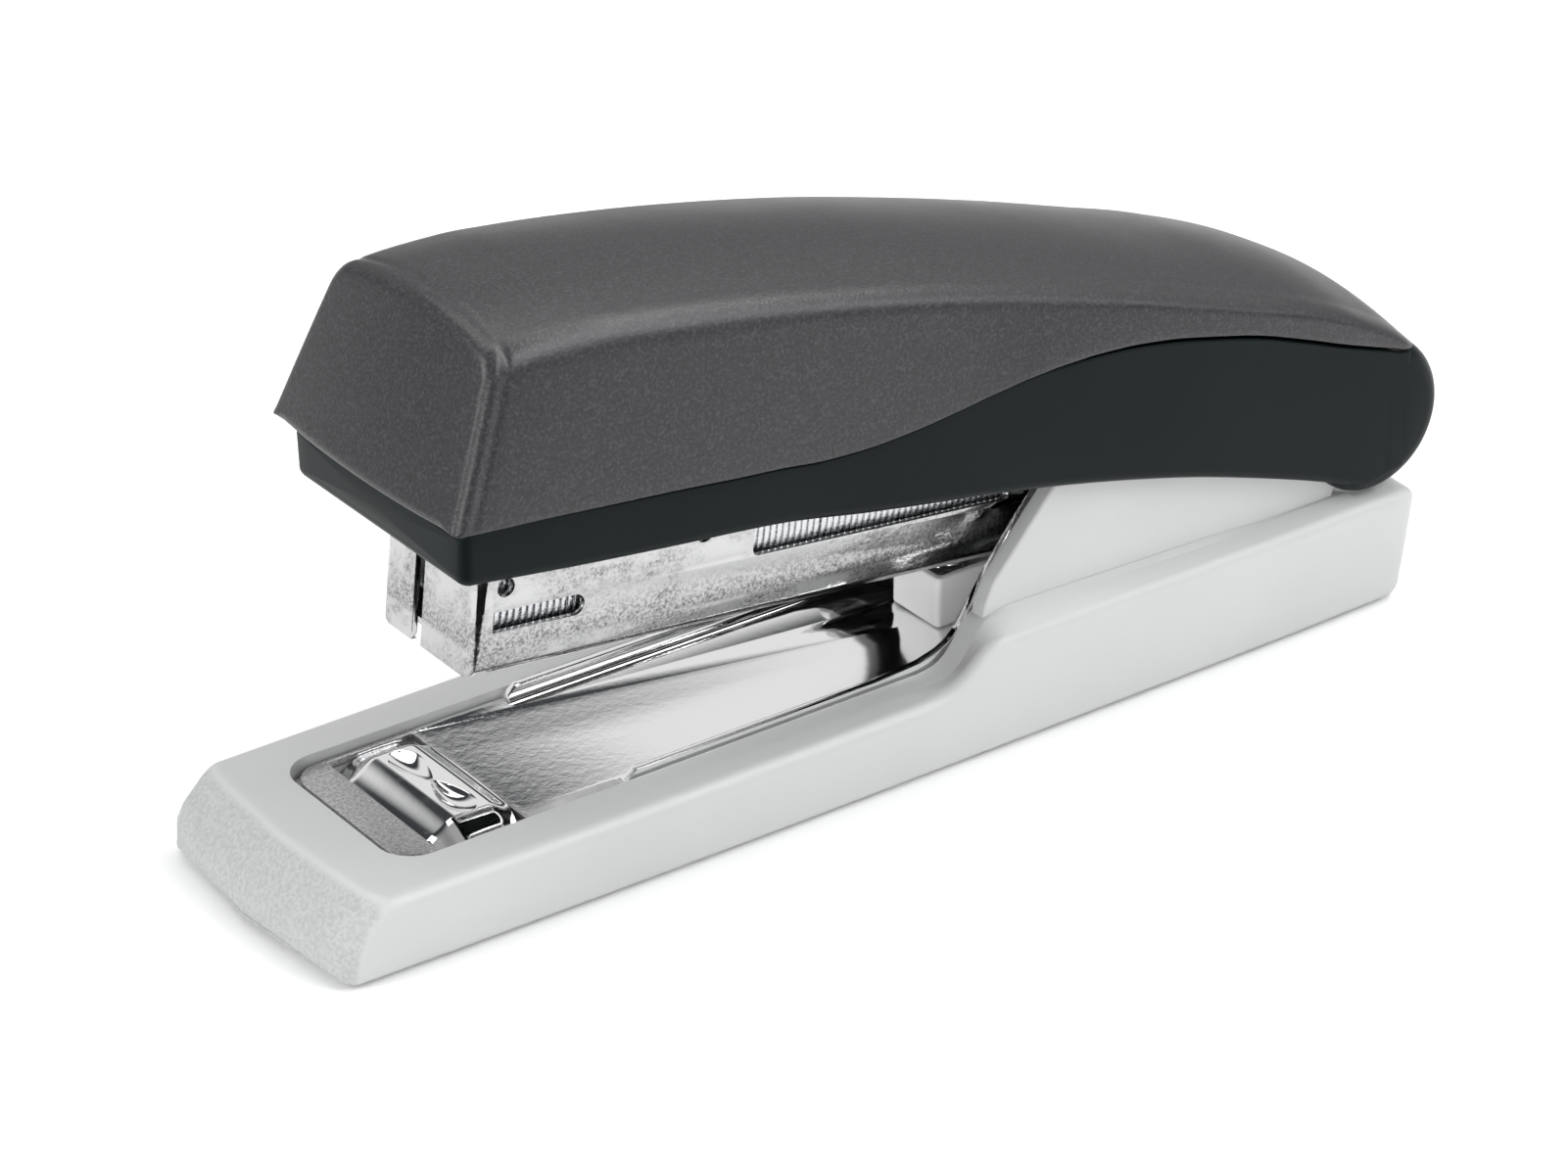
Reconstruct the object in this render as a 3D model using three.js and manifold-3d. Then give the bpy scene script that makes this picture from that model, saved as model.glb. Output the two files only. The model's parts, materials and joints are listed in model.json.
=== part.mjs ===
// Desk stapler for standard 24/6 staples, drawn as an assembly of separate pieces.
// Units are millimetres, +Z up, the nose of the stapler points to -X, and the
// length lies in the XZ symmetry plane. The object stands on its rubber feet at z = 0.
import * as THREE from 'three';
import { mergeVertices } from 'three/addons/utils/BufferGeometryUtils.js';
import Module from 'manifold-3d';

const wasm = await Module();
wasm.setup();

// ---------------------------------------------------------------- dimensions
const X_SHIFT = 10.65;            // puts the bounding box's centre on x = 0
const HINGE = { x: 44.3, z: 19.85 };

const BARREL_R = 7.5;            // round rear end of the handle, at its sides
const BARREL_CROWN = 1.45;        // extra radius on the centre line
const HANDLE_HALF = 14.4;        // half width of the lower handle moulding
const SKIRT_IN = 12.5;           // inner half width of the skirts

const CHEEK_OUT = 12.2, CHEEK_IN = 10.3;
const EAR_OUT = 9.9, EAR_IN = 9.1;
const PLATE_TOP = 6.9, PLATE_T = 0.8;

const MAG_TILT = THREE.MathUtils.degToRad(6.1);   // nose-up at rest
const MAG_FRONT = -98.7, MAG_BOTTOM = -9.45, MAG_TOP = 5.5;
const MAG_HALF = 7.6, SHEET = 0.6;
const RAIL_HALF = 5.7, RAIL_TOP = 0.45;
const STAPLE_HALF = 6.5, STAPLE_WIRE = 0.5, STAPLE_TOP = 1.25, STAPLE_LEG_END = -5.2;
const STAPLE_PITCH = 0.7;

const PIN_R = 1.5, PIN_HOLE = 1.8;

// Profiles along the length, as [x, value] pairs.
const TOP = [[-62, 54.2], [-58, 54.9], [-55, 55.35], [-50, 55.6], [-45, 55.5], [-40, 55.0], [-30, 53.6],
  [-19, 51.6], [-8, 49.2], [3, 46.3], [14.7, 42.9], [26.8, 39.0], [33, 37.0], [39, 34.6], [43, 32.5], [46, 30.7], [48.5, 28.6], [50.5, 26.6], [53.5, 23.2]];
const SHOULDER_DROP = [[-62, 4.2], [-50, 4.1], [-38, 3.9], [-12, 3.5], [20, 3.2], [54, 3.0]];
const SHOULDER_HALF = [[-62, 12.45], [-55, 12.7], [-30, 13.3], [0, 13.7], [15, 14.0], [30, 14.45], [42, 14.8], [54, 14.8]];
const FOOT_HALF = [[-62, 14.5], [-40, 14.9], [-10, 15.1], [20, 15.1], [42, 15.0], [54, 15.0]];
const WAVE = [[-66, 40.7], [-60.8, 39.8], [-51.6, 38.95], [-44.5, 38.2], [-37.6, 37.5], [-31.4, 36.8], [-27.3, 36.4], [-22.6, 35.8],
  [-17.8, 35.6], [-13, 35.8], [-8.1, 36.3], [-3.2, 36.9], [1.8, 37.3], [6.8, 37.2], [12, 36.8], [17.2, 36.0],
  [22.5, 34.8], [27.9, 33.4], [33.4, 31.5], [39, 29.4], [44.8, 27.4], [46.6, 26.8], [48.5, 26.7], [50.5, 27.3], [56, 29.5]];
const LOWER = [[-62, 34.3], [-60, 34.0], [-57.1, 33.65], [-38.9, 31.55], [-26.6, 30.2], [-17.0, 28.35], [2.75, 24.85], [18.5, 21.1], [30.6, 17.35], [40.2, 13.85], [43.0, 12.6]];
const FRAME_HALF = [[-64, 13.3], [-58, 13.5], [-45, 14.0], [-20, 14.3], [0, 14.4], [56, 14.4]];

// Base: height of the band beside the cheeks, and of the soft ridge along its outer edge.
const BASE_TOP = [[-80, 7.7], [-8.8, 7.8], [-6.8, 8.1], [-5.6, 8.8], [-4.6, 10.0], [-3.6, 11.5], [-2.6, 12.45], [-1.5, 12.64], [6, 12.55], [20, 12.2], [30, 12.05], [40, 12.1], [46, 11.6], [49.6, 10.9]];
const BASE_RIDGE = [[-80, 6.85], [-12.1, 6.85], [-10.45, 7.0], [-9.1, 7.35], [-7.6, 8.1], [-6.5, 8.95], [-5.4, 10.0], [-4.6, 10.32], [-3.5, 10.37], [48, 10.35], [50, 10.2]];
const BASE_MID = [[-80, 15.0], [-74, 15.1], [-60, 15.4], [-20, 15.75], [20, 15.7], [48, 15.2], [52, 14.6]];

// ---------------------------------------------------------------- helpers
// Monotone cubic interpolation through a table of pairs.
function table(rows) {
  const n = rows.length, x = rows.map(r => r[0]), y = rows.map(r => r[1]);
  const h = [], d = [], m = new Array(n).fill(0);
  for (let i = 0; i < n - 1; i++) { h.push(x[i + 1] - x[i]); d.push((y[i + 1] - y[i]) / h[i]); }
  m[0] = d[0]; m[n - 1] = d[n - 2];
  for (let i = 1; i < n - 1; i++) {
    if (d[i - 1] * d[i] > 0) {
      const a = 2 * h[i] + h[i - 1], b = h[i] + 2 * h[i - 1];
      m[i] = (a + b) / (a / d[i - 1] + b / d[i]);
    }
  }
  return (v) => {
    if (v <= x[0]) return y[0] + m[0] * (v - x[0]);
    if (v >= x[n - 1]) return y[n - 1] + m[n - 1] * (v - x[n - 1]);
    let i = 0; while (v > x[i + 1]) i++;
    const t = (v - x[i]) / h[i], t2 = t * t, t3 = t2 * t;
    return y[i] * (2 * t3 - 3 * t2 + 1) + m[i] * h[i] * (t3 - 2 * t2 + t) + y[i + 1] * (3 * t2 - 2 * t3) + m[i + 1] * h[i] * (t3 - t2);
  };
}
const topZ = table(TOP), shoulderDrop = table(SHOULDER_DROP), shoulderHalf = table(SHOULDER_HALF), footHalf = table(FOOT_HALF);
const waveZ = table(WAVE), lowerZ = table(LOWER), frameHalf = table(FRAME_HALF), baseTop = table(BASE_TOP), baseRidge = table(BASE_RIDGE), baseMid = table(BASE_MID);

const range = (a, b, n) => Array.from({ length: n + 1 }, (_, i) => a + (b - a) * i / n);

function solid(geometry) {
  let g = geometry.clone();
  g.deleteAttribute('normal'); g.deleteAttribute('uv');
  g = mergeVertices(g, 1e-4);
  const index = g.index ? g.index.array : Uint32Array.from({ length: g.attributes.position.count }, (_, i) => i);
  return new wasm.Manifold(new wasm.Mesh({
    numProp: 3, vertProperties: Float32Array.from(g.attributes.position.array), triVerts: Uint32Array.from(index),
  }));
}
function geometryOf(s) {
  const mesh = s.getMesh(), g = new THREE.BufferGeometry();
  g.setAttribute('position', new THREE.BufferAttribute(Float32Array.from(mesh.vertProperties), 3));
  g.setIndex(new THREE.BufferAttribute(Uint32Array.from(mesh.triVerts), 1));
  const flat = g.toNonIndexed();
  flat.computeVertexNormals();
  return flat;
}
const cut = (a, ...rest) => rest.reduce((s, r) => s.subtract(r), a);
const join = (a, ...rest) => rest.reduce((s, r) => s.add(r), a);

// Outline in X and Z, extruded along Y from y0 to y1.
function slabXZ(points, y0, y1) {
  const shape = new THREE.Shape(points.map(p => new THREE.Vector2(p[0], p[1])));
  const g = new THREE.ExtrudeGeometry(shape, { depth: y1 - y0, bevelEnabled: false, curveSegments: 8 });
  g.rotateX(Math.PI / 2); g.translate(0, y1, 0);
  return solid(g);
}
// Outline in X and Y, extruded along Z, with an optional lean of x with z.
function slabXY(points, z0, z1, lean = 0, zRef = 0) {
  const shape = new THREE.Shape(points.map(p => new THREE.Vector2(p[0], p[1])));
  const g = new THREE.ExtrudeGeometry(shape, { depth: z1 - z0, bevelEnabled: false, steps: 1 });
  g.translate(0, 0, z0);
  if (lean) {
    const p = g.attributes.position;
    for (let i = 0; i < p.count; i++) p.setX(i, p.getX(i) + lean * (p.getZ(i) - zRef));
  }
  return solid(g);
}
// Outline in Y and Z, extruded along X.
function slabYZ(points, x0, x1) {
  const shape = new THREE.Shape(points.map(p => new THREE.Vector2(p[0], p[1])));
  const g = new THREE.ExtrudeGeometry(shape, { depth: x1 - x0, bevelEnabled: false });
  g.applyMatrix4(new THREE.Matrix4().makeBasis(new THREE.Vector3(0, 1, 0), new THREE.Vector3(0, 0, 1), new THREE.Vector3(1, 0, 0)));
  g.translate(x0, 0, 0);
  return solid(g);
}
function block(x0, x1, y0, y1, z0, z1) {
  const g = new THREE.BoxGeometry(x1 - x0, y1 - y0, z1 - z0);
  g.translate((x0 + x1) / 2, (y0 + y1) / 2, (z0 + z1) / 2);
  return solid(g);
}
function rodY(x, z, r, y0, y1, sides = 20) {
  const g = new THREE.CylinderGeometry(r, r, y1 - y0, sides);
  g.translate(x, (y0 + y1) / 2, z);
  return solid(g);
}
function rodX(x0, x1, y, z, r, sides = 12) {
  const g = new THREE.CylinderGeometry(r, r, x1 - x0, sides);
  g.rotateZ(Math.PI / 2); g.translate((x0 + x1) / 2, y, z);
  return solid(g);
}
function rodZ(x, y, z0, z1, r, sides = 16) {
  const g = new THREE.CylinderGeometry(r, r, z1 - z0, sides);
  g.rotateX(Math.PI / 2); g.translate(x, y, (z0 + z1) / 2);
  return solid(g);
}
// Ring about a Y axis: profile rows are [radius, y].
function latheY(rows, x, z, sides = 32) {
  const g = new THREE.LatheGeometry(rows.map(r => new THREE.Vector2(r[0], r[1])), sides);
  g.translate(x, 0, z);
  return solid(g);
}
// Skin over a row of rings; ring(x) gives [y, z] or [y, z, dx] points, counter-clockwise seen from -X.
function loft(stations, ring) {
  const rings = stations.map(x => ring(x).map(p => [x + (p[2] || 0), p[0], p[1]]));
  const n = rings[0].length, pos = rings.flat(2), idx = [];
  for (let s = 0; s < rings.length - 1; s++)
    for (let i = 0; i < n; i++) {
      const a = s * n + i, b = s * n + (i + 1) % n, c = a + n, d = b + n;
      idx.push(a, b, d, a, d, c);
    }
  // End caps: the side walls run i -> i + 1 along the first ring, so its cap runs the other way.
  const capOf = (r, first) => {
    const tri = THREE.ShapeUtils.triangulateShape(rings[r].map(p => new THREE.Vector2(p[1], p[2])), []);
    const along = tri.some(t => [0, 1, 2].some(k => (t[k] + 1) % n === t[(k + 1) % 3]));
    for (const t of tri) idx.push(...(along === first ? [t[2], t[1], t[0]] : t).map(v => v + r * n));
  };
  capOf(0, true);
  capOf(rings.length - 1, false);
  const g = new THREE.BufferGeometry();
  g.setAttribute('position', new THREE.BufferAttribute(Float32Array.from(pos), 3));
  g.setIndex(idx);
  let s = solid(g);
  if (s.volume() < 0) {
    for (let i = 0; i < idx.length; i += 3) { const t = idx[i]; idx[i] = idx[i + 1]; idx[i + 1] = t; }
    g.setIndex(idx); s = solid(g);
  }
  return s;
}
class Helix extends THREE.Curve {
  constructor(axis, centre, radius, from, to, turns) { super(); Object.assign(this, { axis, centre, radius, from, to, turns }); }
  getPoint(t, target = new THREE.Vector3()) {
    const a = t * this.turns * 2 * Math.PI, c = Math.cos(a) * this.radius, s = Math.sin(a) * this.radius, l = this.from + (this.to - this.from) * t;
    return this.axis === 'z' ? target.set(this.centre[0] + c, this.centre[1] + s, l) : target.set(l, this.centre[0] + c, this.centre[1] + s);
  }
}
function wire(curve, r, steps, sides) {
  const shape = new THREE.Shape(range(0, sides - 1, sides - 1).map(i => new THREE.Vector2(r * Math.cos(i * 2 * Math.PI / sides), r * Math.sin(i * 2 * Math.PI / sides))));
  return solid(new THREE.ExtrudeGeometry(shape, { steps, bevelEnabled: false, extrudePath: curve }));
}
const arc = (cx, cz, r, a0, a1, n) => range(a0, a1, n).map(a => [cx + r * Math.cos(a * Math.PI / 180), cz + r * Math.sin(a * Math.PI / 180)]);

const object = new THREE.Group();
object.position.x = X_SHIFT;
const baseGroup = new THREE.Group(), magGroup = new THREE.Group(), handleGroup = new THREE.Group();
object.add(baseGroup, magGroup, handleGroup);
magGroup.position.set(HINGE.x, 0, HINGE.z);
magGroup.rotation.y = MAG_TILT;

const finish = {
  base: { color: 0xc6c8c8, roughness: 0.42, metalness: 0 },
  cover: { color: 0x3b3a3d, roughness: 0.55, metalness: 0 },
  frame: { color: 0x20272a, roughness: 0.38, metalness: 0 },
  chrome: { color: 0xdcdcdc, roughness: 0.12, metalness: 1 },
  steel: { color: 0xb4b6b8, roughness: 0.3, metalness: 1 },
  staple: { color: 0xc2c6ca, roughness: 0.25, metalness: 1 },
  white: { color: 0xeeeeea, roughness: 0.45, metalness: 0 },
  rubber: { color: 0x2b2b2b, roughness: 0.85, metalness: 0 },
};
function add(group, name, s, look) {
  const m = new THREE.Mesh(geometryOf(s), new THREE.MeshStandardMaterial({ ...finish[look] }));
  m.name = name;
  group.add(m);
}

// ---------------------------------------------------------------- base
// Grey base moulding: low rim in front, flanks that rise to a ledge at the rear,
// and two cheeks inside the ledge that flank the steel ears.
function baseRing(x) {
  const zt = baseTop(x), zr = baseRidge(x), wm = baseMid(x), zm = 5.2 + (zr - 6.85) * 0.35, wt = wm - 0.2;
  const half = [[wm - 1.0, 0.3], [wm - 0.3, 0.75], [wm - 0.05, 3.0], [wm, zm], [wt, zr - 0.35], [wt - 0.35, zr + 0.25], [wt - 1.1, zr + 0.72], [12.4, zt]];
  return [...half, ...half.map(p => [-p[0], p[1]]).reverse()];
}
const baseStations = [...range(-80, -18, 6), -14, ...range(-12.5, -3, 8), 0, 6, 12, 18, 24, 30, 36, 42, 46, 49.5, 51.5];
const nosePlan = (x0) => [...range(-18, 18, 12).map(y => [x0 + 1.1 * (y / 14) ** 2 + 0.25 * Math.max(0, Math.abs(y) - 12.5) ** 1.6, y]), [80, 18], [80, -18]];
const noseCut = slabXY(nosePlan(-74.6), -1, 30, 0.1, 0.5).intersect(slabXY(nosePlan(-74.2), -1, 30, 0.95, 4));
const tailCut = slabXY([[-90, -18], ...range(-18, 18, 12).map(y => [50.6 - 0.9 * (y / 14) ** 2 - 0.28 * Math.max(0, Math.abs(y) - 13.5) ** 1.6, y]), [-90, 18]], -1, 30, 0.16, 11);
let base = loft(baseStations, baseRing).intersect(noseCut).intersect(tailCut);

const cheekOutline = [[-5.2, 9.0], [-3.4, 10.8], [-2.6, 12.2], [-2.3, 13.6], [-1.3, 15.8], [1.2, 18.6], [5.0, 23.0], [6.2, 24.3], [7.8, 25.0], [20, 25.0], [39.0, 25.0],
  ...arc(HINGE.x, HINGE.z, 5.1, 100, -125, 10), [39.4, 9.5]];
const cheek = slabXZ(cheekOutline, CHEEK_IN, CHEEK_OUT).add(slabXZ(cheekOutline, -CHEEK_OUT, -CHEEK_IN));

// Trough for the steel plate, with rounded front corners, and a lower pocket for the anvil.
const troughPlan = [[52, -10.3], [52, 10.3], [-61.2, 10.3], ...arc(-61.2, 6.9, 3.4, 90, 180, 5), ...arc(-61.2, -6.9, 3.4, 180, 270, 5)];
const trough = slabXY(troughPlan, 6.0, 40);
const pocket = block(-59.8, -50.8, -9.45, 9.45, 4.9, 20);
const barrelClear = latheY([[0, -16.5], ...range(-16.5, 16.5, 10).map(y => [BARREL_R + BARREL_CROWN * Math.max(0, 1 - (y / HANDLE_HALF) ** 2) + 0.35, y]), [0, 16.5]], HINGE.x, HINGE.z, 40);
const cheekKeep = block(-30, 60, -CHEEK_OUT, CHEEK_OUT, 0, 40);
const hollow = block(-64.5, -48.5, -11.6, 11.6, -1, 2.9).add(block(-46.5, -18, -11.6, 11.6, -1, 3.9)).add(block(-16, 9, -11.6, 11.6, -1, 3.9)).add(block(11, 35.5, -11.6, 11.6, -1, 3.9));
const screwX = [16, 30];      // plate screws, hidden between the cheeks
const ANVIL_X = -55.2;
let shell = cut(base, barrelClear);
shell = cut(join(shell, cheek), trough, pocket, hollow, rodY(HINGE.x, HINGE.z, PIN_HOLE, -16, 16));
for (const x of screwX) shell = cut(shell, rodZ(x, 0, -1, 8, 1.35));
shell = cut(shell, rodZ(ANVIL_X, 0, -1, 8, 1.35));
for (const x of [-68.9, 41.6]) shell = cut(shell, block(x - 3.6, x + 3.6, -10.6, 10.6, -1, 1.7));
shell = cut(shell, block(40.9, 60, -CHEEK_IN, CHEEK_IN, 6.0, 40));
add(baseGroup, 'base_shell', shell, 'base');

add(baseGroup, 'foot_pad_front', block(-72.2, -65.6, -10.3, 10.3, 0, 1.4), 'rubber');
add(baseGroup, 'foot_pad_rear', block(38.3, 44.9, -10.3, 10.3, 0, 1.4), 'rubber');

// Steel channel: floor, low turned-up edges and ears that carry the hinge pin.
const floorPlan = [[39.5, -EAR_OUT], [39.5, EAR_OUT], [-58.6, EAR_OUT], ...arc(-60.6, 6.9, 3.0, 90, 180, 4), ...arc(-60.6, -6.9, 3.0, 180, 270, 4), [-58.6, -EAR_OUT]];
let plate = slabXY(floorPlan, PLATE_TOP - PLATE_T + 0.2, PLATE_TOP);
const flangeOutline = [[-40.9, PLATE_TOP - PLATE_T + 0.2], [-40.7, 7.3], [-39.8, 7.95], [-38.4, 8.2], [-13, 8.2], [-8, 8.5], [-5.8, 9.05], [-4.7, 9.6], [-3.6, 10.6], [-2.2, 12.6], [0.0, 15.9], [3.4, 20.1], [6.0, 22.9], [7.6, 24.1], [9.4, 24.6],
  [36, 24.4], ...arc(HINGE.x, HINGE.z, 4.6, 110, -125, 10), [39.2, 13.0], [38.8, PLATE_TOP - PLATE_T + 0.2]];
const earSide = (y0, y1) => slabXZ(flangeOutline, y0, y1);
plate = join(plate, earSide(EAR_IN, EAR_OUT), earSide(-EAR_OUT, -EAR_IN));
plate = cut(plate, rodY(HINGE.x, HINGE.z, PIN_R + 0.05, -16, 16), block(-59.9, -50.9, -9.35, 9.35, 0, 20));
for (const x of screwX) plate = cut(plate, rodZ(x, 0, 0, 8, 1.35));
add(baseGroup, 'base_plate', plate, 'chrome');

// Anvil: crowned pad with a curved rear edge and two crimping hollows that meet in the middle.
const anvilPlan = [[-59.2, -7.6], [-58.4, -8.6], [-52.2, -8.9], ...range(-8.4, 8.4, 6).map(y => [-51.2 - 0.9 * (y / 8.4) ** 2 + 0.0, y]), [-52.2, 8.9], [-58.4, 8.6], [-59.2, 7.6]];
let anvil = loft([-59.3, -58.7, -57.6, -55, -52.4, -51.2], x => {
  const e = { '-59.3': 6.7, '-58.7': 7.3, '-57.6': 7.6, '-55': 7.75, '-52.4': 7.7, '-51.2': 7.4 }[String(x)];
  const half = [[9.1, 5.2], [9.1, e - 0.9], [8.6, e - 0.25], [7.6, e]];
  return [...half, ...half.map(p => [-p[0], p[1]]).reverse()];
}).intersect(slabXY(anvilPlan, 4, 10));
for (const s of [1, -1]) {
  const dish = new THREE.CylinderGeometry(3.1, 3.1, 1.5, 24);
  dish.rotateZ(Math.PI / 2); dish.translate(-54.9, 0, 0);
  dish.scale(1, 1.13, 0.42); dish.translate(0, s * 3.55, 7.75);
  anvil = anvil.subtract(solid(dish));
}
anvil = anvil.subtract(rodZ(ANVIL_X, 0, 4, 6.9, 1.3, 12));
add(baseGroup, 'anvil', anvil, 'chrome');

// White sleeve on the plate: it guides the return spring and the steel cap that dips into it.
const SLEEVE = { x0: -1.0, x1: 8.4, half: 3.55, top: 12.2 };
let sleeve = block(SLEEVE.x0, SLEEVE.x1, -SLEEVE.half, SLEEVE.half, PLATE_TOP + 0.1, SLEEVE.top);
sleeve = cut(sleeve, block(SLEEVE.x0 + 0.6, SLEEVE.x1 - 0.8, -2.95, 2.95, 7.0 - 1, 20));
add(baseGroup, 'spring_block', sleeve, 'white');
const SPRING_X = 3.0;
add(baseGroup, 'return_spring', wire(new Helix('z', [SPRING_X, 0], 1.4, PLATE_TOP + 2.1, 17.2, 5), 0.35, 60, 6), 'steel');

add(baseGroup, 'hinge_pin', rodY(HINGE.x, HINGE.z, PIN_R, -13.3, 13.3, 24), 'steel');
const screw = (x, head, end) => rodZ(x, 0, head - 1.3, head, 2.4, 16).add(rodZ(x, 0, head - 0.1, end, 1.0, 12));
add(baseGroup, 'plate_screw_front', screw(screwX[0], 3.6, 7.6), 'steel');
add(baseGroup, 'plate_screw_rear', screw(screwX[1], 3.6, 7.6), 'steel');
add(baseGroup, 'anvil_screw', screw(ANVIL_X, 2.6, 6.6), 'steel');

// ---------------------------------------------------------------- magazine
// Everything here is in the magazine's own frame: the hinge is its origin and the
// channel runs towards -X.
const MB = MAG_BOTTOM, MT = MAG_TOP;
const chamfer = 1.5;
const outerTray = [[-MAG_HALF, MT], [-MAG_HALF, MB + 3.2], [-MAG_HALF + 0.35, MB + chamfer], [-MAG_HALF + 0.75, MB + 0.35], [-MAG_HALF + 1.4, MB],
  [MAG_HALF - 1.4, MB], [MAG_HALF - 0.75, MB + 0.35], [MAG_HALF - 0.35, MB + chamfer], [MAG_HALF, MB + 3.2], [MAG_HALF, MT]];
const innerTray = [[-MAG_HALF + SHEET, MT + 1], [-MAG_HALF + SHEET, MB + 3.2], [-MAG_HALF + 0.35 + SHEET, MB + chamfer + 0.2], [-MAG_HALF + 1.7, MB + SHEET],
  [MAG_HALF - 1.7, MB + SHEET], [MAG_HALF - 0.35 - SHEET, MB + chamfer + 0.2], [MAG_HALF - SHEET, MB + 3.2], [MAG_HALF - SHEET, MT + 1]];
const REAR = 4.8;
let channel = slabYZ(outerTray, MAG_FRONT, REAR);
// rear end of the walls: rounded about the pin, lower edge stepped up behind the spring
const rearKeep = slabXZ([[MAG_FRONT - 1, MB - 1], [-42.0, MB - 1], [-40.5, MB + 1.1], [-38.7, MB + 3.4], [-34.5, MB + 4.4], [-3.6, MB + 4.6], ...arc(0, 0, REAR, -90, 90, 8), [0, MT + 1], [MAG_FRONT - 1, MT + 1]], -9, 9);
channel = cut(channel.intersect(rearKeep), slabYZ(innerTray, MAG_FRONT + SHEET, REAR + 1));
// front: two folded flaps with a slot between them, and an exit slot in the floor
channel = cut(channel,
  block(MAG_FRONT - 1, MAG_FRONT + SHEET + 0.05, 0.9, 2.4, MB - 1, MT + 1),
  block(MAG_FRONT + SHEET, MAG_FRONT + 2.4, -6.9, 6.9, MB - 1, MB + 2),
  block(-52.5, REAR + 1, -6.0, 6.0, MB - 1, MB + SHEET + 0.1));
// side slot with a rounded rear end, side window, notch and small hole, on both sides
const slotOutline = [[-97.3, -5.0], [-88.6, -5.0], ...arc(-88.6, -4.0, 1.0, -90, 90, 5), [-97.3, -3.0]];
const windowOutline = [[-69.6, -2.6], [-69.0, -3.2], [-41.0, -3.2], [-40.4, -2.6], [-40.4, 1.4], [-69.6, 1.4]];
for (const s of [[MAG_HALF - 1, MAG_HALF + 1], [-MAG_HALF - 1, -MAG_HALF + 1]])
  channel = cut(channel, slabXZ(slotOutline, ...s), slabXZ(windowOutline, ...s), block(-75.7, -74.5, ...s, -0.6, MT + 1), slabXZ(arc(-96.0, -0.8, 0.9, 0, 315, 7), ...s));
channel = cut(channel, rodY(0, 0, PIN_HOLE, -9, 9));
add(magGroup, 'magazine_channel', channel, 'chrome');

// Inner rail, an inverted channel that the staples straddle.
const RAIL_FRONT = MAG_FRONT + 2.35;
let rail = slabYZ([[-RAIL_HALF, -5.8], [-RAIL_HALF, RAIL_TOP], [RAIL_HALF, RAIL_TOP], [RAIL_HALF, -5.8]], RAIL_FRONT, REAR);
rail = cut(rail, slabYZ([[-RAIL_HALF + 0.7, -7], [-RAIL_HALF + 0.7, RAIL_TOP - 0.7], [RAIL_HALF - 0.7, RAIL_TOP - 0.7], [RAIL_HALF - 0.7, -7]], RAIL_FRONT - 1, REAR + 1));
rail = rail.add(block(RAIL_FRONT, RAIL_FRONT + 0.8, -RAIL_HALF, RAIL_HALF, -5.8, RAIL_TOP)).add(block(-5.8, -5.0, -RAIL_HALF, RAIL_HALF, -5.0, RAIL_TOP));
// rear lobes around the pin, above the level of the rail's top
rail = cut(rail.intersect(slabXZ([[RAIL_FRONT - 1, -5.8], [-4, -5.8], ...arc(0, 0, 4.4, -90, 90, 8), [-4, 6], [RAIL_FRONT - 1, 6]], -9, 9)), block(-3.4, 6, -4.6, 4.6, -7, 7));
const lobe = slabXZ(arc(0, 0, 4.4, 0, 345, 23), RAIL_HALF - 0.7, RAIL_HALF).add(slabXZ(arc(0, 0, 4.4, 0, 345, 23), -RAIL_HALF, -RAIL_HALF + 0.7));
rail = cut(rail.add(lobe), rodY(0, 0, PIN_HOLE, -9, 9), rodX(-7, -4, 0, -3.1, 1.25), rodX(RAIL_FRONT - 1, RAIL_FRONT + 2, 0, -3.1, 1.25));
add(magGroup, 'staple_rail', rail, 'steel');

// Staples: two strips of glued wire staples, crown over the rail.
function strip(x0, count) {
  const x1 = x0 + count * STAPLE_PITCH, w = STAPLE_WIRE, r = 0.5;
  const out = [[-STAPLE_HALF, STAPLE_LEG_END], [-STAPLE_HALF, STAPLE_TOP - r], [-STAPLE_HALF + r, STAPLE_TOP], [STAPLE_HALF - r, STAPLE_TOP], [STAPLE_HALF, STAPLE_TOP - r], [STAPLE_HALF, STAPLE_LEG_END],
    [STAPLE_HALF - w, STAPLE_LEG_END], [STAPLE_HALF - w, STAPLE_TOP - w], [-STAPLE_HALF + w, STAPLE_TOP - w], [-STAPLE_HALF + w, STAPLE_LEG_END]];
  return slabYZ(out, x0, x1);
}
const S1 = RAIL_FRONT, S2 = S1 + 35.1, S_END = S2 + 43 * STAPLE_PITCH;
add(magGroup, 'staple_strip_front', strip(S1, 50), 'staple');
add(magGroup, 'staple_strip_rear', strip(S2, 43), 'staple');

// Rod along the rail, with the pusher's spring coiled round it.
const PUSH0 = S_END + 0.3, PUSH1 = PUSH0 + 9;
add(magGroup, 'guide_rod', rodX(RAIL_FRONT + 0.05, -4.2, 0, -3.1, 0.95, 12), 'steel');
add(magGroup, 'pusher_spring', wire(new Helix('x', [0, -3.1], 1.75, PUSH1 + 0.6, -6.5, 9), 0.25, 90, 5), 'steel');

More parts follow.
